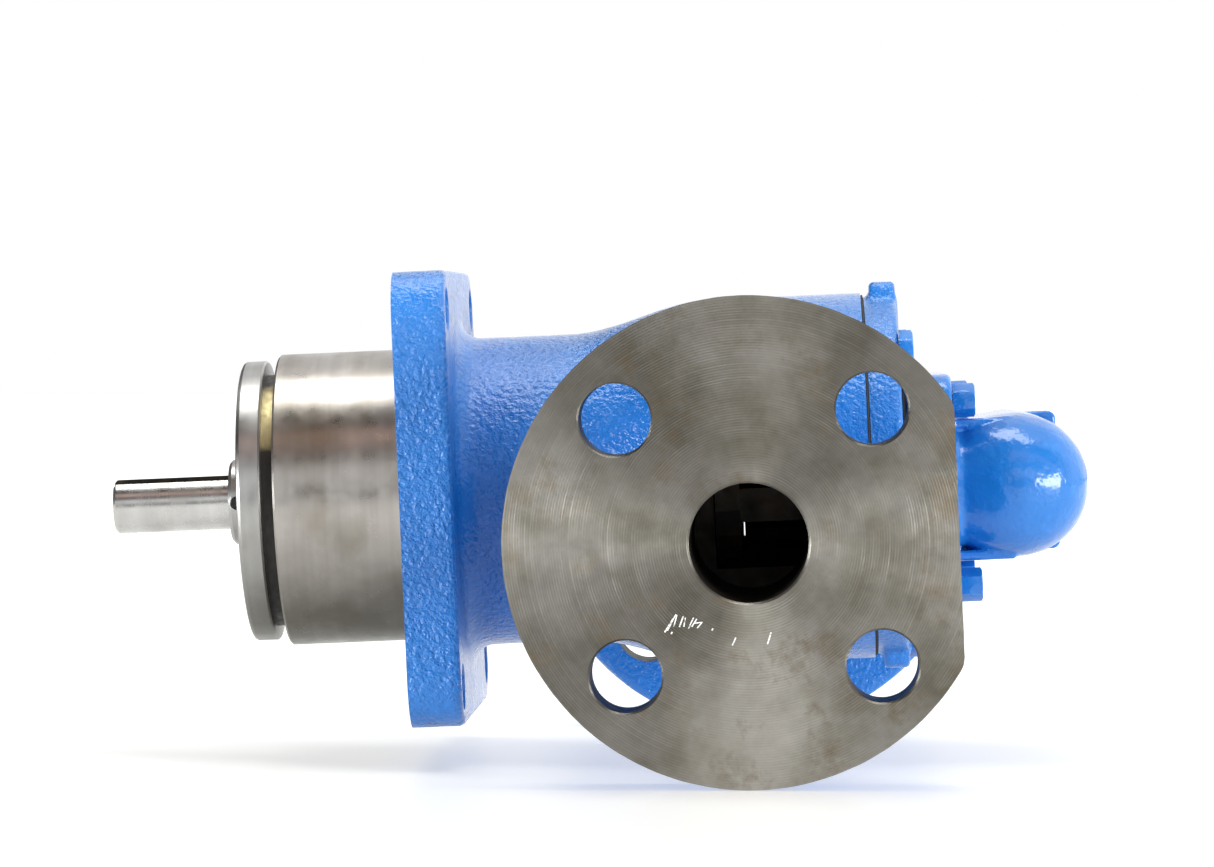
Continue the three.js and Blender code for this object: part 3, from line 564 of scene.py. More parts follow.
def paint_material(name, grain, grain_height, gloss=0.12):
    """Glossy blue enamel over a sand casting. grain is the size of its bumps in millimetres."""
    m = Nodes(name)
    tone = m.noise(26, 3)
    fine = m.noise(grain * 1.4, 2)
    blues = [(0.3, (0.006, 0.145, 0.49)), (0.5, (0.009, 0.175, 0.57)), (0.72, (0.014, 0.205, 0.64))]
    colour = m.ramp(tone, blues)
    thin = m.ramp(fine, [(0.60, 0.0), (0.78, 0.5)])
    colour = m.blend(thin, colour, (0.03, 0.26, 0.74))
    m.link(colour, "Base Color")
    rough = m.ramp(m.noise(9, 3), [(0.3, 0.24), (0.7, 0.36)])
    m.link(rough, "Roughness")
    m.set(Metallic=0.0, Coat_Weight=0.85, Coat_Roughness=gloss, Coat_IOR=1.5, Specular_IOR_Level=0.3)
    coarse = m.bump(m.noise(grain, 2, 0.5), grain_height)
    skin = m.bump(m.noise(grain * 0.4, 2, 0.5), grain_height * 0.3, below=coarse)
    m.link(skin, "Normal")
    m.link(skin, "Coat Normal")
    return m.material


def faced_iron():
    """A port face: lathe-faced iron with rings round the port, painted highlight fans and painted shade by
    direction round the port, brown stains and a few scratches.
    """
    m = Nodes("faced_iron")
    centre = (PORT_X * MM, 0.0, PORT_Z * MM)
    flat = m.vector("MULTIPLY", m.vector("SUBTRACT", m.place, centre), (1.0, 0.0, 1.0))
    radius = m.vector("LENGTH", flat)
    ring_number = m.maths("MULTIPLY_ADD", m.noise(45, 2), 1.6, m.maths("DIVIDE", radius, RING_PITCH * MM))
    rings = m.maths("MULTIPLY_ADD", m.maths("SINE", m.maths("MULTIPLY", ring_number, 2 * math.pi)), 0.5, 0.5)
    which = m.add("CombineXYZ")
    m.connect(m.maths("MULTIPLY", ring_number, MM), which.inputs[0])
    depth = m.ramp(m.noise(2.3, 3, 0.8, vector=which.outputs[0]), [(0.35, 0.1), (0.7, 1.0)])
    patchy = m.ramp(m.noise(9, 3), [(0.3, 0.2), (0.65, 1.0)])
    uneven = m.maths("MULTIPLY", m.maths("MULTIPLY", rings, depth), patchy)
    colour = m.ramp(m.noise(17, 5, 0.62), [
        (0.30, (0.17, 0.16, 0.13)), (0.44, (0.235, 0.225, 0.195)), (0.56, (0.29, 0.28, 0.255)),
        (0.70, (0.34, 0.33, 0.305)),
    ])
    # Painted highlights and shade: the colour is darkened or lightened by direction round the port, in the
    # fans that light makes on faced rings.
    across_x, _, across_z = m.split(flat)
    angle = m.maths("ARCTAN2", across_z, across_x)
    share = m.maths("MULTIPLY_ADD", angle, 0.5 / math.pi, 0.45)
    painted_fans = m.ramp(m.maths("MULTIPLY_ADD", m.noise(30, 3), 0.10, share), PAINTED_FAN_SECTORS)
    fan_shade = m.vector("MULTIPLY", colour, (0.52, 0.51, 0.49))
    fan_highlight = m.vector("MULTIPLY", colour, (1.5, 1.49, 1.46))
    colour = m.blend(painted_fans, fan_shade, fan_highlight)
    elsewhere = m.vector("ADD", m.place, (0.4, 0.2, 0.1))
    rust = m.ramp(m.noise(12, 6, 0.7, vector=elsewhere), [(0.55, 0.0), (0.72, 0.7)])
    colour = m.blend(rust, colour, (0.17, 0.125, 0.07))
    colour = m.blend(m.maths("MULTIPLY", uneven, 0.22), colour, (0.62, 0.61, 0.58))
    scratched = None
    for x, z, angle, length, width in SCRATCHES:
        turn = math.radians(angle)
        along = (math.cos(turn), 0.0, math.sin(turn))
        across = (-math.sin(turn), 0.0, math.cos(turn))
        away = m.vector("SUBTRACT", flat, (x * MM, 0.0, z * MM))
        sides = []
        for direction, extent in ((along, length), (across, width)):
            gone = m.maths("ABSOLUTE", m.vector("DOT_PRODUCT", away, direction))
            sides.append(m.maths("LESS_THAN", gone, extent * MM / 2))
        mark = m.maths("MULTIPLY", *sides)
        scratched = mark if scratched is None else m.maths("MAXIMUM", scratched, mark)
    near_face = m.maths("LESS_THAN", m.vector("DOT_PRODUCT", m.place, (0.0, 1.0, 0.0)), 0.0)
    scratched = m.maths("MULTIPLY", scratched, near_face)
    broken = m.maths("MULTIPLY", scratched, m.ramp(m.noise(0.8, 2), [(0.36, 0.3), (0.46, 1.0)]))
    colour = m.blend(broken, colour, (0.9, 0.9, 0.88))
    m.link(colour, "Base Color")
    m.link(m.ramp(m.noise(6, 4), [(0.3, 0.32), (0.7, 0.42)]), "Roughness")
    m.link(m.maths("MULTIPLY_ADD", broken, -0.9, 0.95), "Metallic")
    m.set(Anisotropic=0.7)
    m.link(m.vector("NORMALIZE", flat), "Tangent")
    grooves = m.bump(uneven, 0.05)
    m.link(m.bump(m.noise(0.8, 3), 0.03, below=grooves), "Normal")
    return m.material


def turned_steel(name, tones, rough, stain_amount, groove, underside=0.0):
    """Steel turned round the X axis: fine marks round it, brown stains, and old oil with painted shade on its
    underside.
    """
    m = Nodes(name)
    marks = m.noise(0.55, 4, 0.7, vector=m.stretched((1.0, 0.02, 0.02)))
    bands = m.noise(5, 3, vector=m.stretched((1.0, 0.05, 0.05)))
    colour = m.ramp(bands, [(0.3, tones[0]), (0.7, tones[1])])
    blotches = m.noise(16, 3, 0.5, vector=m.stretched((1.0, 0.8, 0.8)))
    stain = m.ramp(blotches, [(0.46, 0.0), (0.70, stain_amount)])
    colour = m.blend(stain, colour, (0.20, 0.165, 0.11))
    # Darker towards the bottom: an oil stain together with painted shade on the underside.
    depth = m.vector("DOT_PRODUCT", m.place, (0.0, 0.0, -1.0))
    low = m.maths("MULTIPLY_ADD", m.noise(14, 4, 0.6), 0.022, m.maths("SUBTRACT", depth, 0.011))
    oil_and_shade = m.ramp(m.maths("DIVIDE", low, 0.04), [(0.05, 0.0), (0.75, underside)])
    colour = m.blend(oil_and_shade, colour, (0.125, 0.12, 0.095))
    m.link(colour, "Base Color")
    m.link(m.ramp(m.noise(4, 4), [(0.3, rough[0]), (0.7, rough[1])]), "Roughness")
    m.set(Metallic=1.0, Anisotropic=0.4)
    outwards = m.vector("NORMALIZE", m.vector("MULTIPLY", m.place, (0.0, 1.0, 1.0)))
    lengthwise = m.vector("ADD", outwards, (2.0, 0.0, 0.0))
    m.link(m.vector("NORMALIZE", lengthwise), "Tangent")
    m.link(m.bump(marks, groove), "Normal")
    return m.material


def plain_metal(name, tone, rough, metallic=1.0, stain=(0.2, 0.13, 0.07), amount=0.3):
    m = Nodes(name)
    colour = m.blend(m.ramp(m.noise(6, 4), [(0.48, 0.0), (0.75, amount)]), tone, stain)
    m.link(colour, "Base Color")
    m.link(m.ramp(m.noise(3, 3), [(0.3, rough * 0.8), (0.7, rough * 1.25)]), "Roughness")
    m.set(Metallic=metallic)
    m.link(m.bump(m.noise(0.5, 3), 0.01), "Normal")
    return m.material


def matte(name, tone, rough, grain=0.8):
    m = Nodes(name)
    lighter = tuple(min(1.0, c * 1.5 + 0.01) for c in tone)
    m.link(m.blend(m.noise(3, 4), tone, lighter), "Base Color")
    m.link(m.ramp(m.noise(2, 3), [(0.3, rough * 0.85), (0.7, min(1.0, rough * 1.15))]), "Roughness")
    m.link(m.bump(m.noise(grain, 3), 0.03), "Normal")
    return m.material


def greased_threads():
    """The end cap's threaded neck: black grease, wiped down to brassy metal in one stretch."""
    m = Nodes("greased_threads")
    uneven = m.maths("MULTIPLY_ADD", m.noise(5, 4), 0.008, m.split(m.place)[2])
    bare = m.maths("MULTIPLY_ADD", uneven, 1 / 0.040, 0.0)
    wiped = m.ramp(bare, [(0.40, 0.0), (0.46, 1.0), (0.72, 1.0), (0.80, 0.0)])
    m.link(m.blend(wiped, (0.012, 0.010, 0.007), (0.42, 0.36, 0.20)), "Base Color")
    m.link(m.ramp(m.noise(1.5, 3), [(0.3, 0.35), (0.7, 0.6)]), "Roughness")
    m.link(wiped, "Metallic")
    ridges = m.noise(0.7, 2, vector=m.stretched((1.0, 0.03, 0.03)))
    m.link(m.bump(ridges, 0.08), "Normal")
    return m.material


PAINT = paint_material("blue_paint", 1.25, 0.5, 0.10)
PAINT_COARSE = paint_material("blue_paint_coarse", 1.35, 0.85, 0.09)
PAINT_SMOOTH = paint_material("blue_paint_smooth", 2.6, 0.20, 0.07)
FACED = faced_iron()
# Bores, holes and the keyway get near-black iron: painted shade inside them.
BORE_PAINTED_SHADE = plain_metal("bored_iron_painted_shade", (0.045, 0.042, 0.038), 0.55, 0.8)
TURNED = turned_steel(
    "turned_steel", ((0.40, 0.375, 0.35), (0.54, 0.51, 0.475)), (0.26, 0.38), 0.6, 0.012, 0.85)
DISC_STEEL = turned_steel(
    "disc_steel", ((0.42, 0.42, 0.41), (0.55, 0.55, 0.54)), (0.28, 0.40), 0.3, 0.010, 0.75)
BRIGHT = turned_steel(
    "bright_steel", ((0.56, 0.555, 0.54), (0.68, 0.675, 0.66)), (0.22, 0.34), 0.35, 0.010)
BROWNED = greased_threads()
BRONZE = plain_metal("bronze", (0.62, 0.42, 0.20), 0.32)
GEAR_IRON = plain_metal("gear_iron", (0.045, 0.042, 0.04), 0.5, 0.9)
SPRING_STEEL = plain_metal("spring_steel", (0.45, 0.44, 0.42), 0.28)
BLACK_STEEL = plain_metal("black_steel", (0.03, 0.03, 0.03), 0.4, 0.6)
RUBBER = matte("black_rubber", (0.015, 0.015, 0.015), 0.7)
CARBON = matte("carbon_graphite", (0.04, 0.04, 0.043), 0.5)
FIBRE = matte("gasket_fibre", (0.035, 0.035, 0.03), 0.85)
CERAMIC = matte("ceramic", (0.75, 0.74, 0.70), 0.25)


def give(made, *materials):
    made.data.materials.clear()
    for material in materials:
        made.data.materials.append(material)
    return made


def sort_faces(made, rule):
    """rule takes face centres in millimetres and normals, and returns a material number for each."""
    mesh = made.data
    count = len(mesh.polygons)
    centres = np.empty(count * 3)
    normals = np.empty(count * 3)
    mesh.polygons.foreach_get("center", centres)
    mesh.polygons.foreach_get("normal", normals)
    numbers = rule(centres.reshape(-1, 3) / MM, normals.reshape(-1, 3))
    mesh.polygons.foreach_set("material_index", numbers.astype(np.int32))


def settle_piece(made, body, slot, *nodes):
    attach(made, body)
    if nodes:
        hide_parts(*nodes)


# ---- pump casing ----
def make_casing():
    side = FLANGE_SIDE / 2
    low = (-4, -PORT_FACE - 6, PORT_Z - PORT_FLANGE_R - 3)
    high = (PORT_X + PORT_FLAT + 3, PORT_FACE + 6, side + 3)
    casing = cast_object("casing", casing_field, low, high, 1.1)

    drills = []
    for direction in (-1, 1):
        for hole in range(4):
            x, z = on_circle(PORT_HOLE_CIRCLE_R, 45 + 90 * hole)
            ends = sorted((direction * (PORT_FACE - PORT_FLANGE_THICK), direction * PORT_FACE))
            profile = hole_profile(PORT_HOLE_R, ends[0], ends[1], 0.4, ("low", "high"))
            drills.append(lathe("drill", profile, "y", (PORT_X + x, 0, PORT_Z + z), 64))
        face = direction * PORT_FACE
        inner = direction * (CAVITY_R - 6)
        chamfer, over = 0.5, 4.0
        profile = [
            (inner, 0), (inner, PORT_BORE_R), (face - direction * chamfer, PORT_BORE_R),
            (face + direction * over, PORT_BORE_R + chamfer + over), (face + direction * over, 0),
        ]
        drills.append(lathe("bore", profile, "y", (PORT_X, 0, PORT_Z), 96))
    half = FLANGE_HOLE_SPACING / 2
    for y in (-half, half):
        for z in (-half, half):
            profile = hole_profile(FLANGE_HOLE_R, 0, FLANGE_THICK, 0.4, ("low", "high"))
            drills.append(lathe("drill", profile, "x", (0, y, z), 48))

    reach = 300
    planes = [
        box("near", (-reach, -PORT_FACE - reach, -reach), (reach, -PORT_FACE, reach)),
        box("far", (-reach, PORT_FACE, -reach), (reach, PORT_FACE + reach, reach)),
        box("front", (-20, -70, -70), (0, 70, 70)),
        box("back", (CASING_END, -60, -60), (CASING_END + 20, 60, 60)),
    ]
    boolean(casing, merged("planes", planes))
    boolean(casing, merged("drills", drills))
    inside = [
        (-8, 0), (-8, CARRIER_R + 0.3), (REGISTER_DEPTH, CARRIER_R + 0.3), (REGISTER_DEPTH, 29.3),
        (24.3, 29.3), (24.3, 17), (48, 17), (48, 11.3), (CAVITY_START, 11.3),
        (CAVITY_START, CAVITY_R), (CASING_END + 8, CAVITY_R), (CASING_END + 8, 0),
    ]
    boolean(casing, lathe("inside", inside, "x", sides=128))

    def rule(centres, normals):
        x, y, z = centres.T
        port = np.hypot(x - PORT_X, z - PORT_Z)
        face = np.abs(np.abs(y) - PORT_FACE) < 0.6
        numbers = np.where(face, 1, 0)
        reach = np.abs(y)
        bores = (port < PORT_BORE_R + 0.05) & (reach < PORT_FACE - 0.55)
        for hole in range(4):
            dx, dz = on_circle(PORT_HOLE_CIRCLE_R, 45 + 90 * hole)
            away = np.hypot(x - PORT_X - dx, z - PORT_Z - dz)
            inside_flange = (reach < PORT_FACE - 0.45) & (reach > PORT_FACE - PORT_FLANGE_THICK + 0.45)
            bores |= (away < PORT_HOLE_R + 0.05) & inside_flange
        axial = np.hypot(y, z)
        bores |= (axial < CARRIER_R + 0.35) & (x < 50)
        bores |= (axial < CAVITY_R + 0.1) & (x > 47)
        numbers = np.where(bores, 2, numbers)
        numbers = np.where((np.abs(x) < 0.05) & (axial < 60), 3, numbers)
        rim = (x < FLANGE_THICK + 0.4) & (np.maximum(reach, np.abs(z)) > side - 1.5) & (numbers == 0)
        return np.where(rim, 4, numbers)

    give(casing, PAINT, FACED, BORE_PAINTED_SHADE, DISC_STEEL, PAINT_COARSE)
    sort_faces(casing, rule)
    shade(casing)
    settle_piece(casing, "housing", "blue_paint", "pump_casing")


# ---- head, relief valve and their fasteners ----
def crescent_outline():
    """The filler between the two gears: inside the rotor's teeth, outside the idler's, below the shaft."""
    turns = [math.radians(a) for a in range(-CRESCENT_HALF_ANGLE, CRESCENT_HALF_ANGLE + 1, 4)]
    outer = [(CRESCENT_R * math.sin(t), -CRESCENT_R * math.cos(t)) for t in turns]
    inner = []
    for t in reversed(turns):
        along = -IDLER_OFFSET * math.cos(t)
        reach = along + math.sqrt(along ** 2 - IDLER_OFFSET ** 2 + IDLER_ROOM_R ** 2)
        inner.append((reach * math.sin(t), -reach * math.cos(t)))
    return outer + inner


def make_head():
    low = (HEAD_START - 4, -HEAD_R - 3, -LUG_TOP - 3)
    high = (HEAD_END + 3, HEAD_R + 3, LUG_TOP + 3)
    head = cast_object("head_cover", head_field, low, high, 0.8, 0.06, 4.0, 2)
    boolean(head, box("back", (HEAD_START - 20, -60, -60), (HEAD_START, 60, 60)))
    boolean(head, prism("crescent", crescent_outline(), CRESCENT_START, HEAD_START + 1), "UNION")
    give(head, PAINT, BORE_PAINTED_SHADE)
    sort_faces(head, lambda centres, normals: (centres[:, 0] < HEAD_START + 0.05).astype(int))
    shade(head)
    settle_piece(head, "housing", "blue_paint", "head")


def make_valve():
    low = (PLATE_START - 4, -VALVE_R * 2 - 4, PLATE_BOTTOM - 3)
    high = (VALVE_X + VALVE_R + 3, VALVE_FAR + 3, PLATE_TOP + 3)
    body = cast_object("relief_valve_body", valve_field, low, high, 0.75, 0.09, 5.5, 3)
    boolean(body, box("back", (PLATE_START - 20, -60, -60), (PLATE_START, 60, 60)))
    bore = [(-6, 0), (-6, 11), (VALVE_FAR + 4, 11), (VALVE_FAR + 4, 0)]
    boolean(body, lathe("bore", bore, "y", (VALVE_X, 0, VALVE_Z), 64))
    give(body, PAINT_SMOOTH, BORE_PAINTED_SHADE)

    def rule(centres, normals):
        x, y, z = centres.T
        inner = (np.hypot(x - VALVE_X, z - VALVE_Z) < 11.05) & (y > -6.05)
        return (inner | (x < PLATE_START + 0.05)).astype(int)

    sort_faces(body, rule)
    shade(body)
    settle_piece(body, "housing", "blue_paint", "valve_body")


def rounded_outline(width, height, corner, steps=6):
    outline = []
    for turn, (u, v) in enumerate(((1, 1), (-1, 1), (-1, -1), (1, -1))):
        for step in range(steps + 1):
            angle = math.pi / 2 * (turn + step / steps)
            outline.append((u * (width / 2 - corner) + corner * math.cos(angle),
                            v * (height / 2 - corner) + corner * math.sin(angle)))
    return outline


def hexagon(across, start=30):
    radius = across / math.sqrt(3)
    corners = [math.radians(start + 60 * n) for n in range(6)]
    return [(radius * math.cos(a), radius * math.sin(a)) for a in corners]


def hex_head(name, across, low, high, axis, place, chamfer_low=False):
    """A hexagon with the corners of its end turned off, as on a bolt or a nut."""
    made = prism(name, hexagon(across), low, high, axis, place)
    corner = across / math.sqrt(3)
    drop = (corner - across * 0.485) * math.tan(math.radians(30))
    start = (low, across * 0.485) if chamfer_low else (low, corner + 2)
    middle = [(low + drop, corner), (high - drop, corner)] if chamfer_low else [(high - drop, corner)]
    if not chamfer_low:
        start = (low - 1, corner + 2)
        middle = [(high - drop, corner + 2), (high - drop, corner)]
    profile = [(start[0], 0), start, *middle, (high, across * 0.485), (high, 0)]
    boolean(made, lathe("turned_off", profile, axis, place, 96), "INTERSECT")
    round_edges(made, 0.22, 2, 20)
    return made


def make_bolts():
    heads = []
    for number, degrees in enumerate(HEAD_BOLT_ANGLES, 1):
        place = (HEAD_END + 0.3, *on_circle(HEAD_BOLT_CIRCLE_R, degrees))
        heads.append((f"head_bolt_{number}", place, 8.2, 3.0, 15.0))
    number = 1
    for y in (-VALVE_BOLT_Y, VALVE_BOLT_Y):
        for z in VALVE_BOLTS_Z:
            place = (PLATE_END + 0.3, y, VALVE_Z + z)
            heads.append((f"valve_bolt_{number}", place, 6.8, 5.0, 12.0))
            number += 1
    for node, place, across, height, shank in heads:
        head = hex_head(node + "_head", across, -0.15, height, "x", place)
        shank_profile = [(-shank, 0), (-shank, 2.4), (0.4, 2.4), (0.4, 0)]
        stem = lathe(node + "_shank", shank_profile, "x", place, 24)
        boolean(head, stem, "UNION")
        head.name = node + "_painted"
        give(head, PAINT_SMOOTH)
        shade(head, 25)
        settle_piece(head, "housing", "blue_paint", node)


def make_bonnet():
    outline = [(v - BONNET_DROP, u) for u, v in rounded_outline(24.2, 33.4, 2.0)]
    flange = prism("bonnet_flange", outline, VALVE_FAR + 0.3, 42.0, "y", (VALVE_X, 0, VALVE_Z), 0.7)
    spigot = [
        (VALVE_FAR - 5, 0), (VALVE_FAR - 5, 10.2), (VALVE_FAR - 4.5, 10.7), (VALVE_FAR + 2, 10.7),
        (VALVE_FAR + 2, 0),
    ]
    boolean(flange, lathe("spigot", spigot, "y", (VALVE_X, 0, VALVE_Z), 64), "UNION")
    bore = [(VALVE_FAR - 8, 0), (VALVE_FAR - 8, 4.3), (46, 4.3), (46, 0)]
    boolean(flange, lathe("bore", bore, "y", (VALVE_X, 0, VALVE_Z), 48))
    flange.name = "relief_valve_bonnet"
    give(flange, PAINT_SMOOTH)
    shade(flange)
    settle_piece(flange, "housing", "blue_paint", "valve_bonnet")

    nut = hex_head("relief_valve_lock_nut", 15.0, 42.3, 47.3, "y", (VALVE_X, 0, VALVE_Z), True)
    boolean(nut, lathe("bore", [(40, 0), (40, 4.3), (50, 4.3), (50, 0)], "y", (VALVE_X, 0, VALVE_Z), 48))
    give(nut, PAINT_SMOOTH)
    shade(nut, 25)
    settle_piece(nut, "housing", "blue_paint", "lock_nut")

    inner, axis = 5.2, 0.001
    loop = [
        (47.6, inner), (47.6, 7.9), (48.2, 8.5), (61.8, 8.5), (63.2, 8.2), (64.2, 7.4), (64.8, 6.2), (65, 5),
        (65, axis), (62, axis), (62, inner), (47.6, inner),
    ]
    cap = lathe("relief_valve_cap", loop, "y", (VALVE_X, 0, VALVE_Z), 96)
    give(cap, PAINT_SMOOTH)
    shade(cap, 40)
    settle_piece(cap, "housing", "blue_paint", "valve_cap")


# ---- shaft end: carrier, cap, collar and shaft ----
def make_carrier():
    c = 0.5
    profile = [
        (CARRIER_START, 30.0), (CARRIER_START, CARRIER_R - c), (CARRIER_START + c, CARRIER_R),
        (REGISTER_DEPTH - 0.3, CARRIER_R), (REGISTER_DEPTH - 0.3, 29.0), (24.0, 29.0), (24.0, 9.5),
        (-12.2, 9.5), (-12.2, 17.8), (-24.0, 17.8), (-24.0, 30.0), (CARRIER_START, 30.0),
    ]
    carrier = lathe("register_boss", profile, "x", sides=256)
    give(carrier, TURNED)
    shade(carrier)
    settle_piece(carrier, "housing", "turned_steel", "bearing_carrier")

    seal_seat = 12.3
    profile = [
        (CAP_START, seal_seat), (CAP_START, CAP_R - 0.9), (CAP_START + 0.3, CAP_R - 0.3),
        (CAP_START + 0.9, CAP_R),
        (CAP_END - 0.4, CAP_R), (CAP_END, CAP_R - 0.4), (CAP_END, CAP_NECK_R), (-24.3, CAP_NECK_R),
        (-24.3, seal_seat), (CAP_START, seal_seat),
    ]
    cap = lathe("bearing_end_cap", profile, "x", sides=256)
    give(cap, DISC_STEEL, BROWNED)

    def rule(centres, normals):
        x, y, z = centres.T
        return ((x > CAP_END + 0.01) & (np.hypot(y, z) > seal_seat + 1)).astype(int)

    sort_faces(cap, rule)
    shade(cap, 25)
    settle_piece(cap, "housing", "turned_steel", "end_cap")


def make_shaft():
    journal_start = -12.0
    profile = [
        (SHAFT_START, 0), (SHAFT_START, SHAFT_R - 0.7), (SHAFT_START + 0.7, SHAFT_R), (-32.6, SHAFT_R),
        (-32.6, 7.2), (journal_start, 7.2), (journal_start, 8.0), (76.4, 8.0), (76.4, 0),
    ]
    shaft = lathe("keyed_shaft", profile, "x", sides=128)
    half = KEYWAY_WIDTH / 2
    floor = SHAFT_R - KEYWAY_DEPTH
    slot = box("slot", (SHAFT_START - 5, -half, floor), (KEYWAY_END, half, SHAFT_R + 5))
    turn = Matrix.Rotation(math.radians(KEYWAY_TURN), 4, "X")
    slot.data.transform(turn)
    boolean(shaft, slot)
    cutter_r = 12.0
    cutter = [(-half, 0), (-half, cutter_r), (half, cutter_r), (half, 0)]
    run_out = lathe("run_out", cutter, "y", (KEYWAY_END - 0.1, 0, floor + cutter_r + 0.01), 128)
    run_out.data.transform(turn)
    boolean(shaft, run_out)
    give(shaft, BRIGHT, BORE_PAINTED_SHADE)

    def rule(centres, normals):
        x, y, z = (centres @ np.array(turn.to_3x3())).T
        within = (np.abs(y) < half + 0.02) & (z > floor - 0.02) & (x < -38)
        return (within & (np.hypot(y, z) < SHAFT_R - 0.1)).astype(int)

    sort_faces(shaft, rule)
    shade(shaft, 30)
    settle_piece(shaft, "shaft", "bright_steel", "drive_shaft")

    start, end, bore = -43.6, CAP_START - 0.3, SHAFT_R + 0.3
    profile = [(start, bore), (start, 9.2), (start + 0.8, 10.0), (end, 10.0), (end, bore), (start, bore)]
    collar = lathe("shaft_hub", profile, "x", sides=96)
    hole = lathe("hole", [(-14, 0), (-14, 1.6), (-4, 1.6), (-4, 0)], "y", (-41.5, 0, 0), 32)
    boolean(collar, hole)
    give(collar, DISC_STEEL)
    shade(collar)
    settle_piece(collar, "shaft", "turned_steel", "shaft_collar")


CARRIED_OVER = {
    "lip_seal": RUBBER, "bearing_outer_race": SPRING_STEEL, "bearing_inner_race": SPRING_STEEL,
    "bearing_balls_and_cage": BRONZE, "shaft_bushing": CARBON, "seal_seat": CERAMIC, "seal_face_ring": CARBON,
    "seal_spring": SPRING_STEEL, "rotor": GEAR_IRON, "idler_gear": GEAR_IRON, "idler_bushing": CARBON,
    "idler_pin": SPRING_STEEL, "head_gasket": FIBRE, "valve_gasket": FIBRE, "adjusting_screw": SPRING_STEEL,
    "spring_seat": SPRING_STEEL, "valve_poppet": BRONZE, "valve_spring": SPRING_STEEL,
    "collar_set_screw": BLACK_STEEL,
}


def dress_inner_pieces():
    for node, material in CARRIED_OVER.items():
        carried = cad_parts[node]
        for slot in carried.material_slots:
            slot.material = material


# ---- studio ----
# Brightness round the X axis: 0 is the front horizon, 0.5 overhead and 1 the back horizon.
STUDIO_BANDS = [
    (0.00, 0.24), (0.05, 0.30), (0.08, 1.0), (0.145, 1.25), (0.175, 0.22), (0.235, (0.26, 0.20, 0.19)),
    (0.25, (1.0, 0.74, 0.66)), (0.31, (0.95, 0.70, 0.62)), (0.33, 0.08), (0.41, 0.12), (0.47, 1.0),
    (0.56, 0.95), (1.0, 1.0),
]
LIT_FROM_RIGHT = (-0.22, -0.06, 0.12, 1.15)    # between these two X directions it rises by these factors
# Area lights: place and size in metres, watts and colour.
LIGHTS = [
    ("overhead", (0.0, 0.03, 1.0), (0.34, 1.3), 8.0, (1.0, 0.99, 0.96)),
    ("right_window", (2.2, -1.5, 0.10), (1.7, 0.8), 62.0, (0.97, 0.98, 1.0)),
    ("left_window", (-2.0, -1.35, 0.10), (1.7, 0.8), 85.0, (0.97, 0.98, 1.0)),
]
FLOOR_HALF = 6.0


def make_floor():
    """A level pale sheet, as level as the photographed one, touching the port flanges from below."""
    tilt = math.radians(-CAMERA_ROLL)
    up = Vector((math.sin(tilt), 0, math.cos(tilt)))
    lowest = Vector((PORT_X, 0, PORT_Z)) * MM - up * (PORT_FLANGE_R + 0.1) * MM
    right = Vector((math.cos(tilt), 0, -math.sin(tilt)))
    ahead = Vector((0, 1, 0))
    corners = [(-1, -1), (1, -1), (1, 1), (-1, 1)]
    points = [lowest + (right * u + ahead * v) * FLOOR_HALF for u, v in corners]
    mesh = bpy.data.meshes.new("floor")
    mesh.from_pydata(points, [], [(0, 1, 2, 3)])
    floor = bpy.data.objects.new("floor", mesh)
    bpy.context.scene.collection.objects.link(floor)
    m = Nodes("pale_floor")
    m.link(m.blend(m.noise(60, 2), (0.50, 0.51, 0.50), (0.53, 0.538, 0.53)), "Base Color")
    behind = m.maths("DIVIDE", m.vector("DOT_PRODUCT", m.place, (0.0, 1.0, 0.0)), 2.0)
    m.link(m.ramp(behind, [(0.03, 0.46), (0.14, 0.60), (0.6, 0.9)]), "Emission Strength")
    m.set(Roughness=0.42, Metallic=0.0, Specular_IOR_Level=0.35, Emission_Color=(1, 1, 1, 1))
    give(floor, m.material)


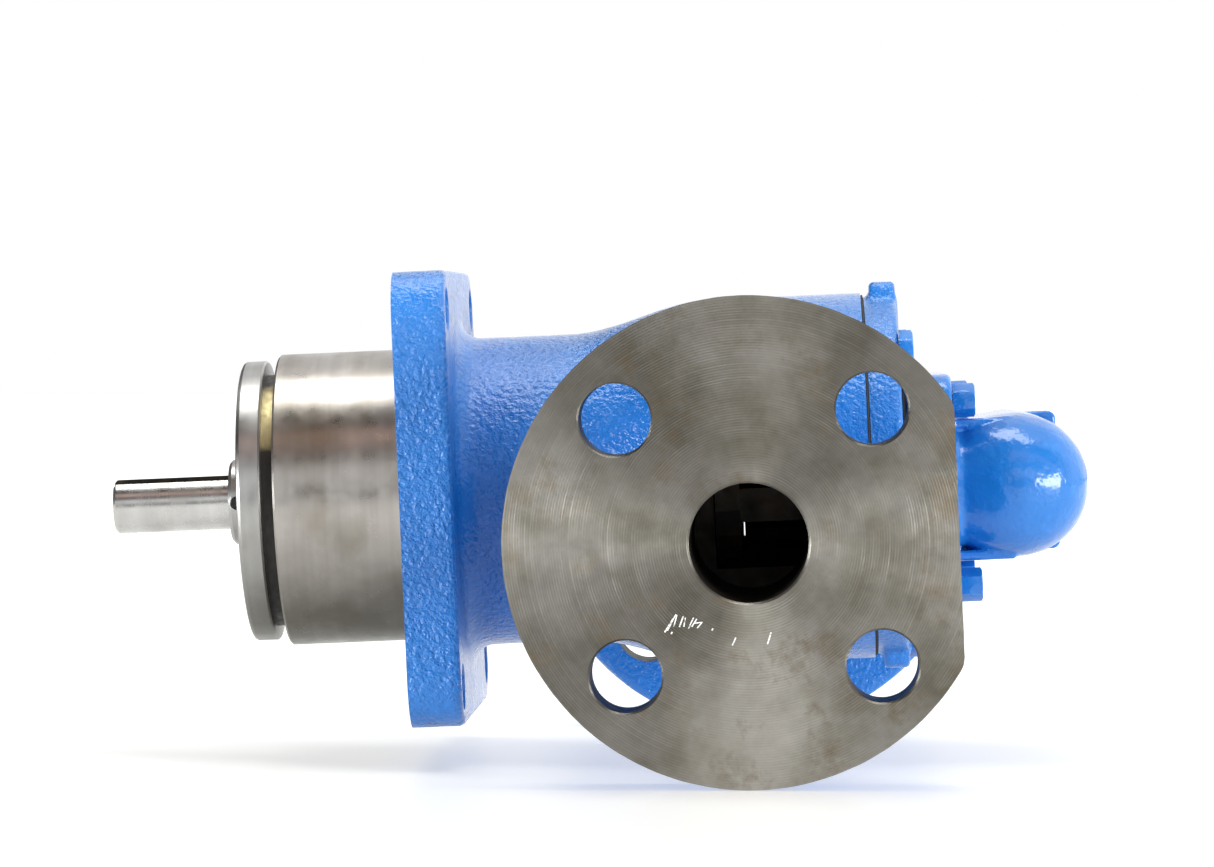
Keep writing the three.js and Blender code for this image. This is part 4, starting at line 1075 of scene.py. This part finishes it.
def make_lights():
    target = Vector((0.06, 0, 0))
    for name, place, size, power, colour in LIGHTS:
        data = bpy.data.lights.new(name, "AREA")
        data.shape = "RECTANGLE"
        data.size, data.size_y = size
        data.energy = power
        data.color = colour
        light = bpy.data.objects.new(name, data)
        bpy.context.scene.collection.objects.link(light)
        light.location = place
        light.rotation_euler = (target - Vector(place)).to_track_quat("-Z", "Y").to_euler()


def make_surroundings():
    """Bands of light seen by gloss and shadow, darker from the left; the camera sees plain white."""
    world = bpy.data.worlds.new("studio")
    bpy.context.scene.world = world
    world.use_nodes = True
    g = Graph(world.node_tree, "Generated")
    x, y, z = g.split(g.place)
    height = g.maths("ARCTAN2", z, g.maths("MULTIPLY", y, -1.0))
    sideways = g.add("MapRange")
    g.fill(sideways.inputs[:5], (x, *LIT_FROM_RIGHT))
    around = g.add("Background")
    g.fill(around.inputs, (g.ramp(g.maths("DIVIDE", height, math.pi), STUDIO_BANDS), sideways.outputs[0]))
    seen = g.add("Background")
    g.fill(seen.inputs, ((1.0, 1.0, 1.0), 1.0))
    choice = g.add("MixShader")
    g.fill(choice.inputs, (g.add("LightPath").outputs["Is Camera Ray"], around.outputs[0], seen.outputs[0]))
    g.connect(choice.outputs[0], g.add("OutputWorld").inputs[0])
    bpy.context.scene.view_settings.view_transform = "Standard"


def make_camera():
    data = bpy.data.cameras.new("camera")
    data.sensor_width = SENSOR_WIDTH
    data.lens = FOCAL_PIXELS / IMAGE_WIDTH * SENSOR_WIDTH
    data.clip_start, data.clip_end = 0.05, 50
    camera = bpy.data.objects.new("camera", data)
    bpy.context.scene.collection.objects.link(camera)
    turned = Matrix.Identity(3)
    for degrees, axis in ((CAMERA_PITCH, "X"), (CAMERA_YAW, "Z"), (90, "X"), (CAMERA_ROLL, "Z")):
        turned = turned @ Matrix.Rotation(math.radians(degrees), 3, axis)
    camera.matrix_world = Matrix.Translation(Vector(CAMERA_PLACE) * MM) @ turned.to_4x4()
    bpy.context.scene.camera = camera


make_camera()
make_floor()
make_lights()
make_surroundings()
make_casing()
make_head()
make_valve()
make_bolts()
make_bonnet()
make_carrier()
make_shaft()
dress_inner_pieces()
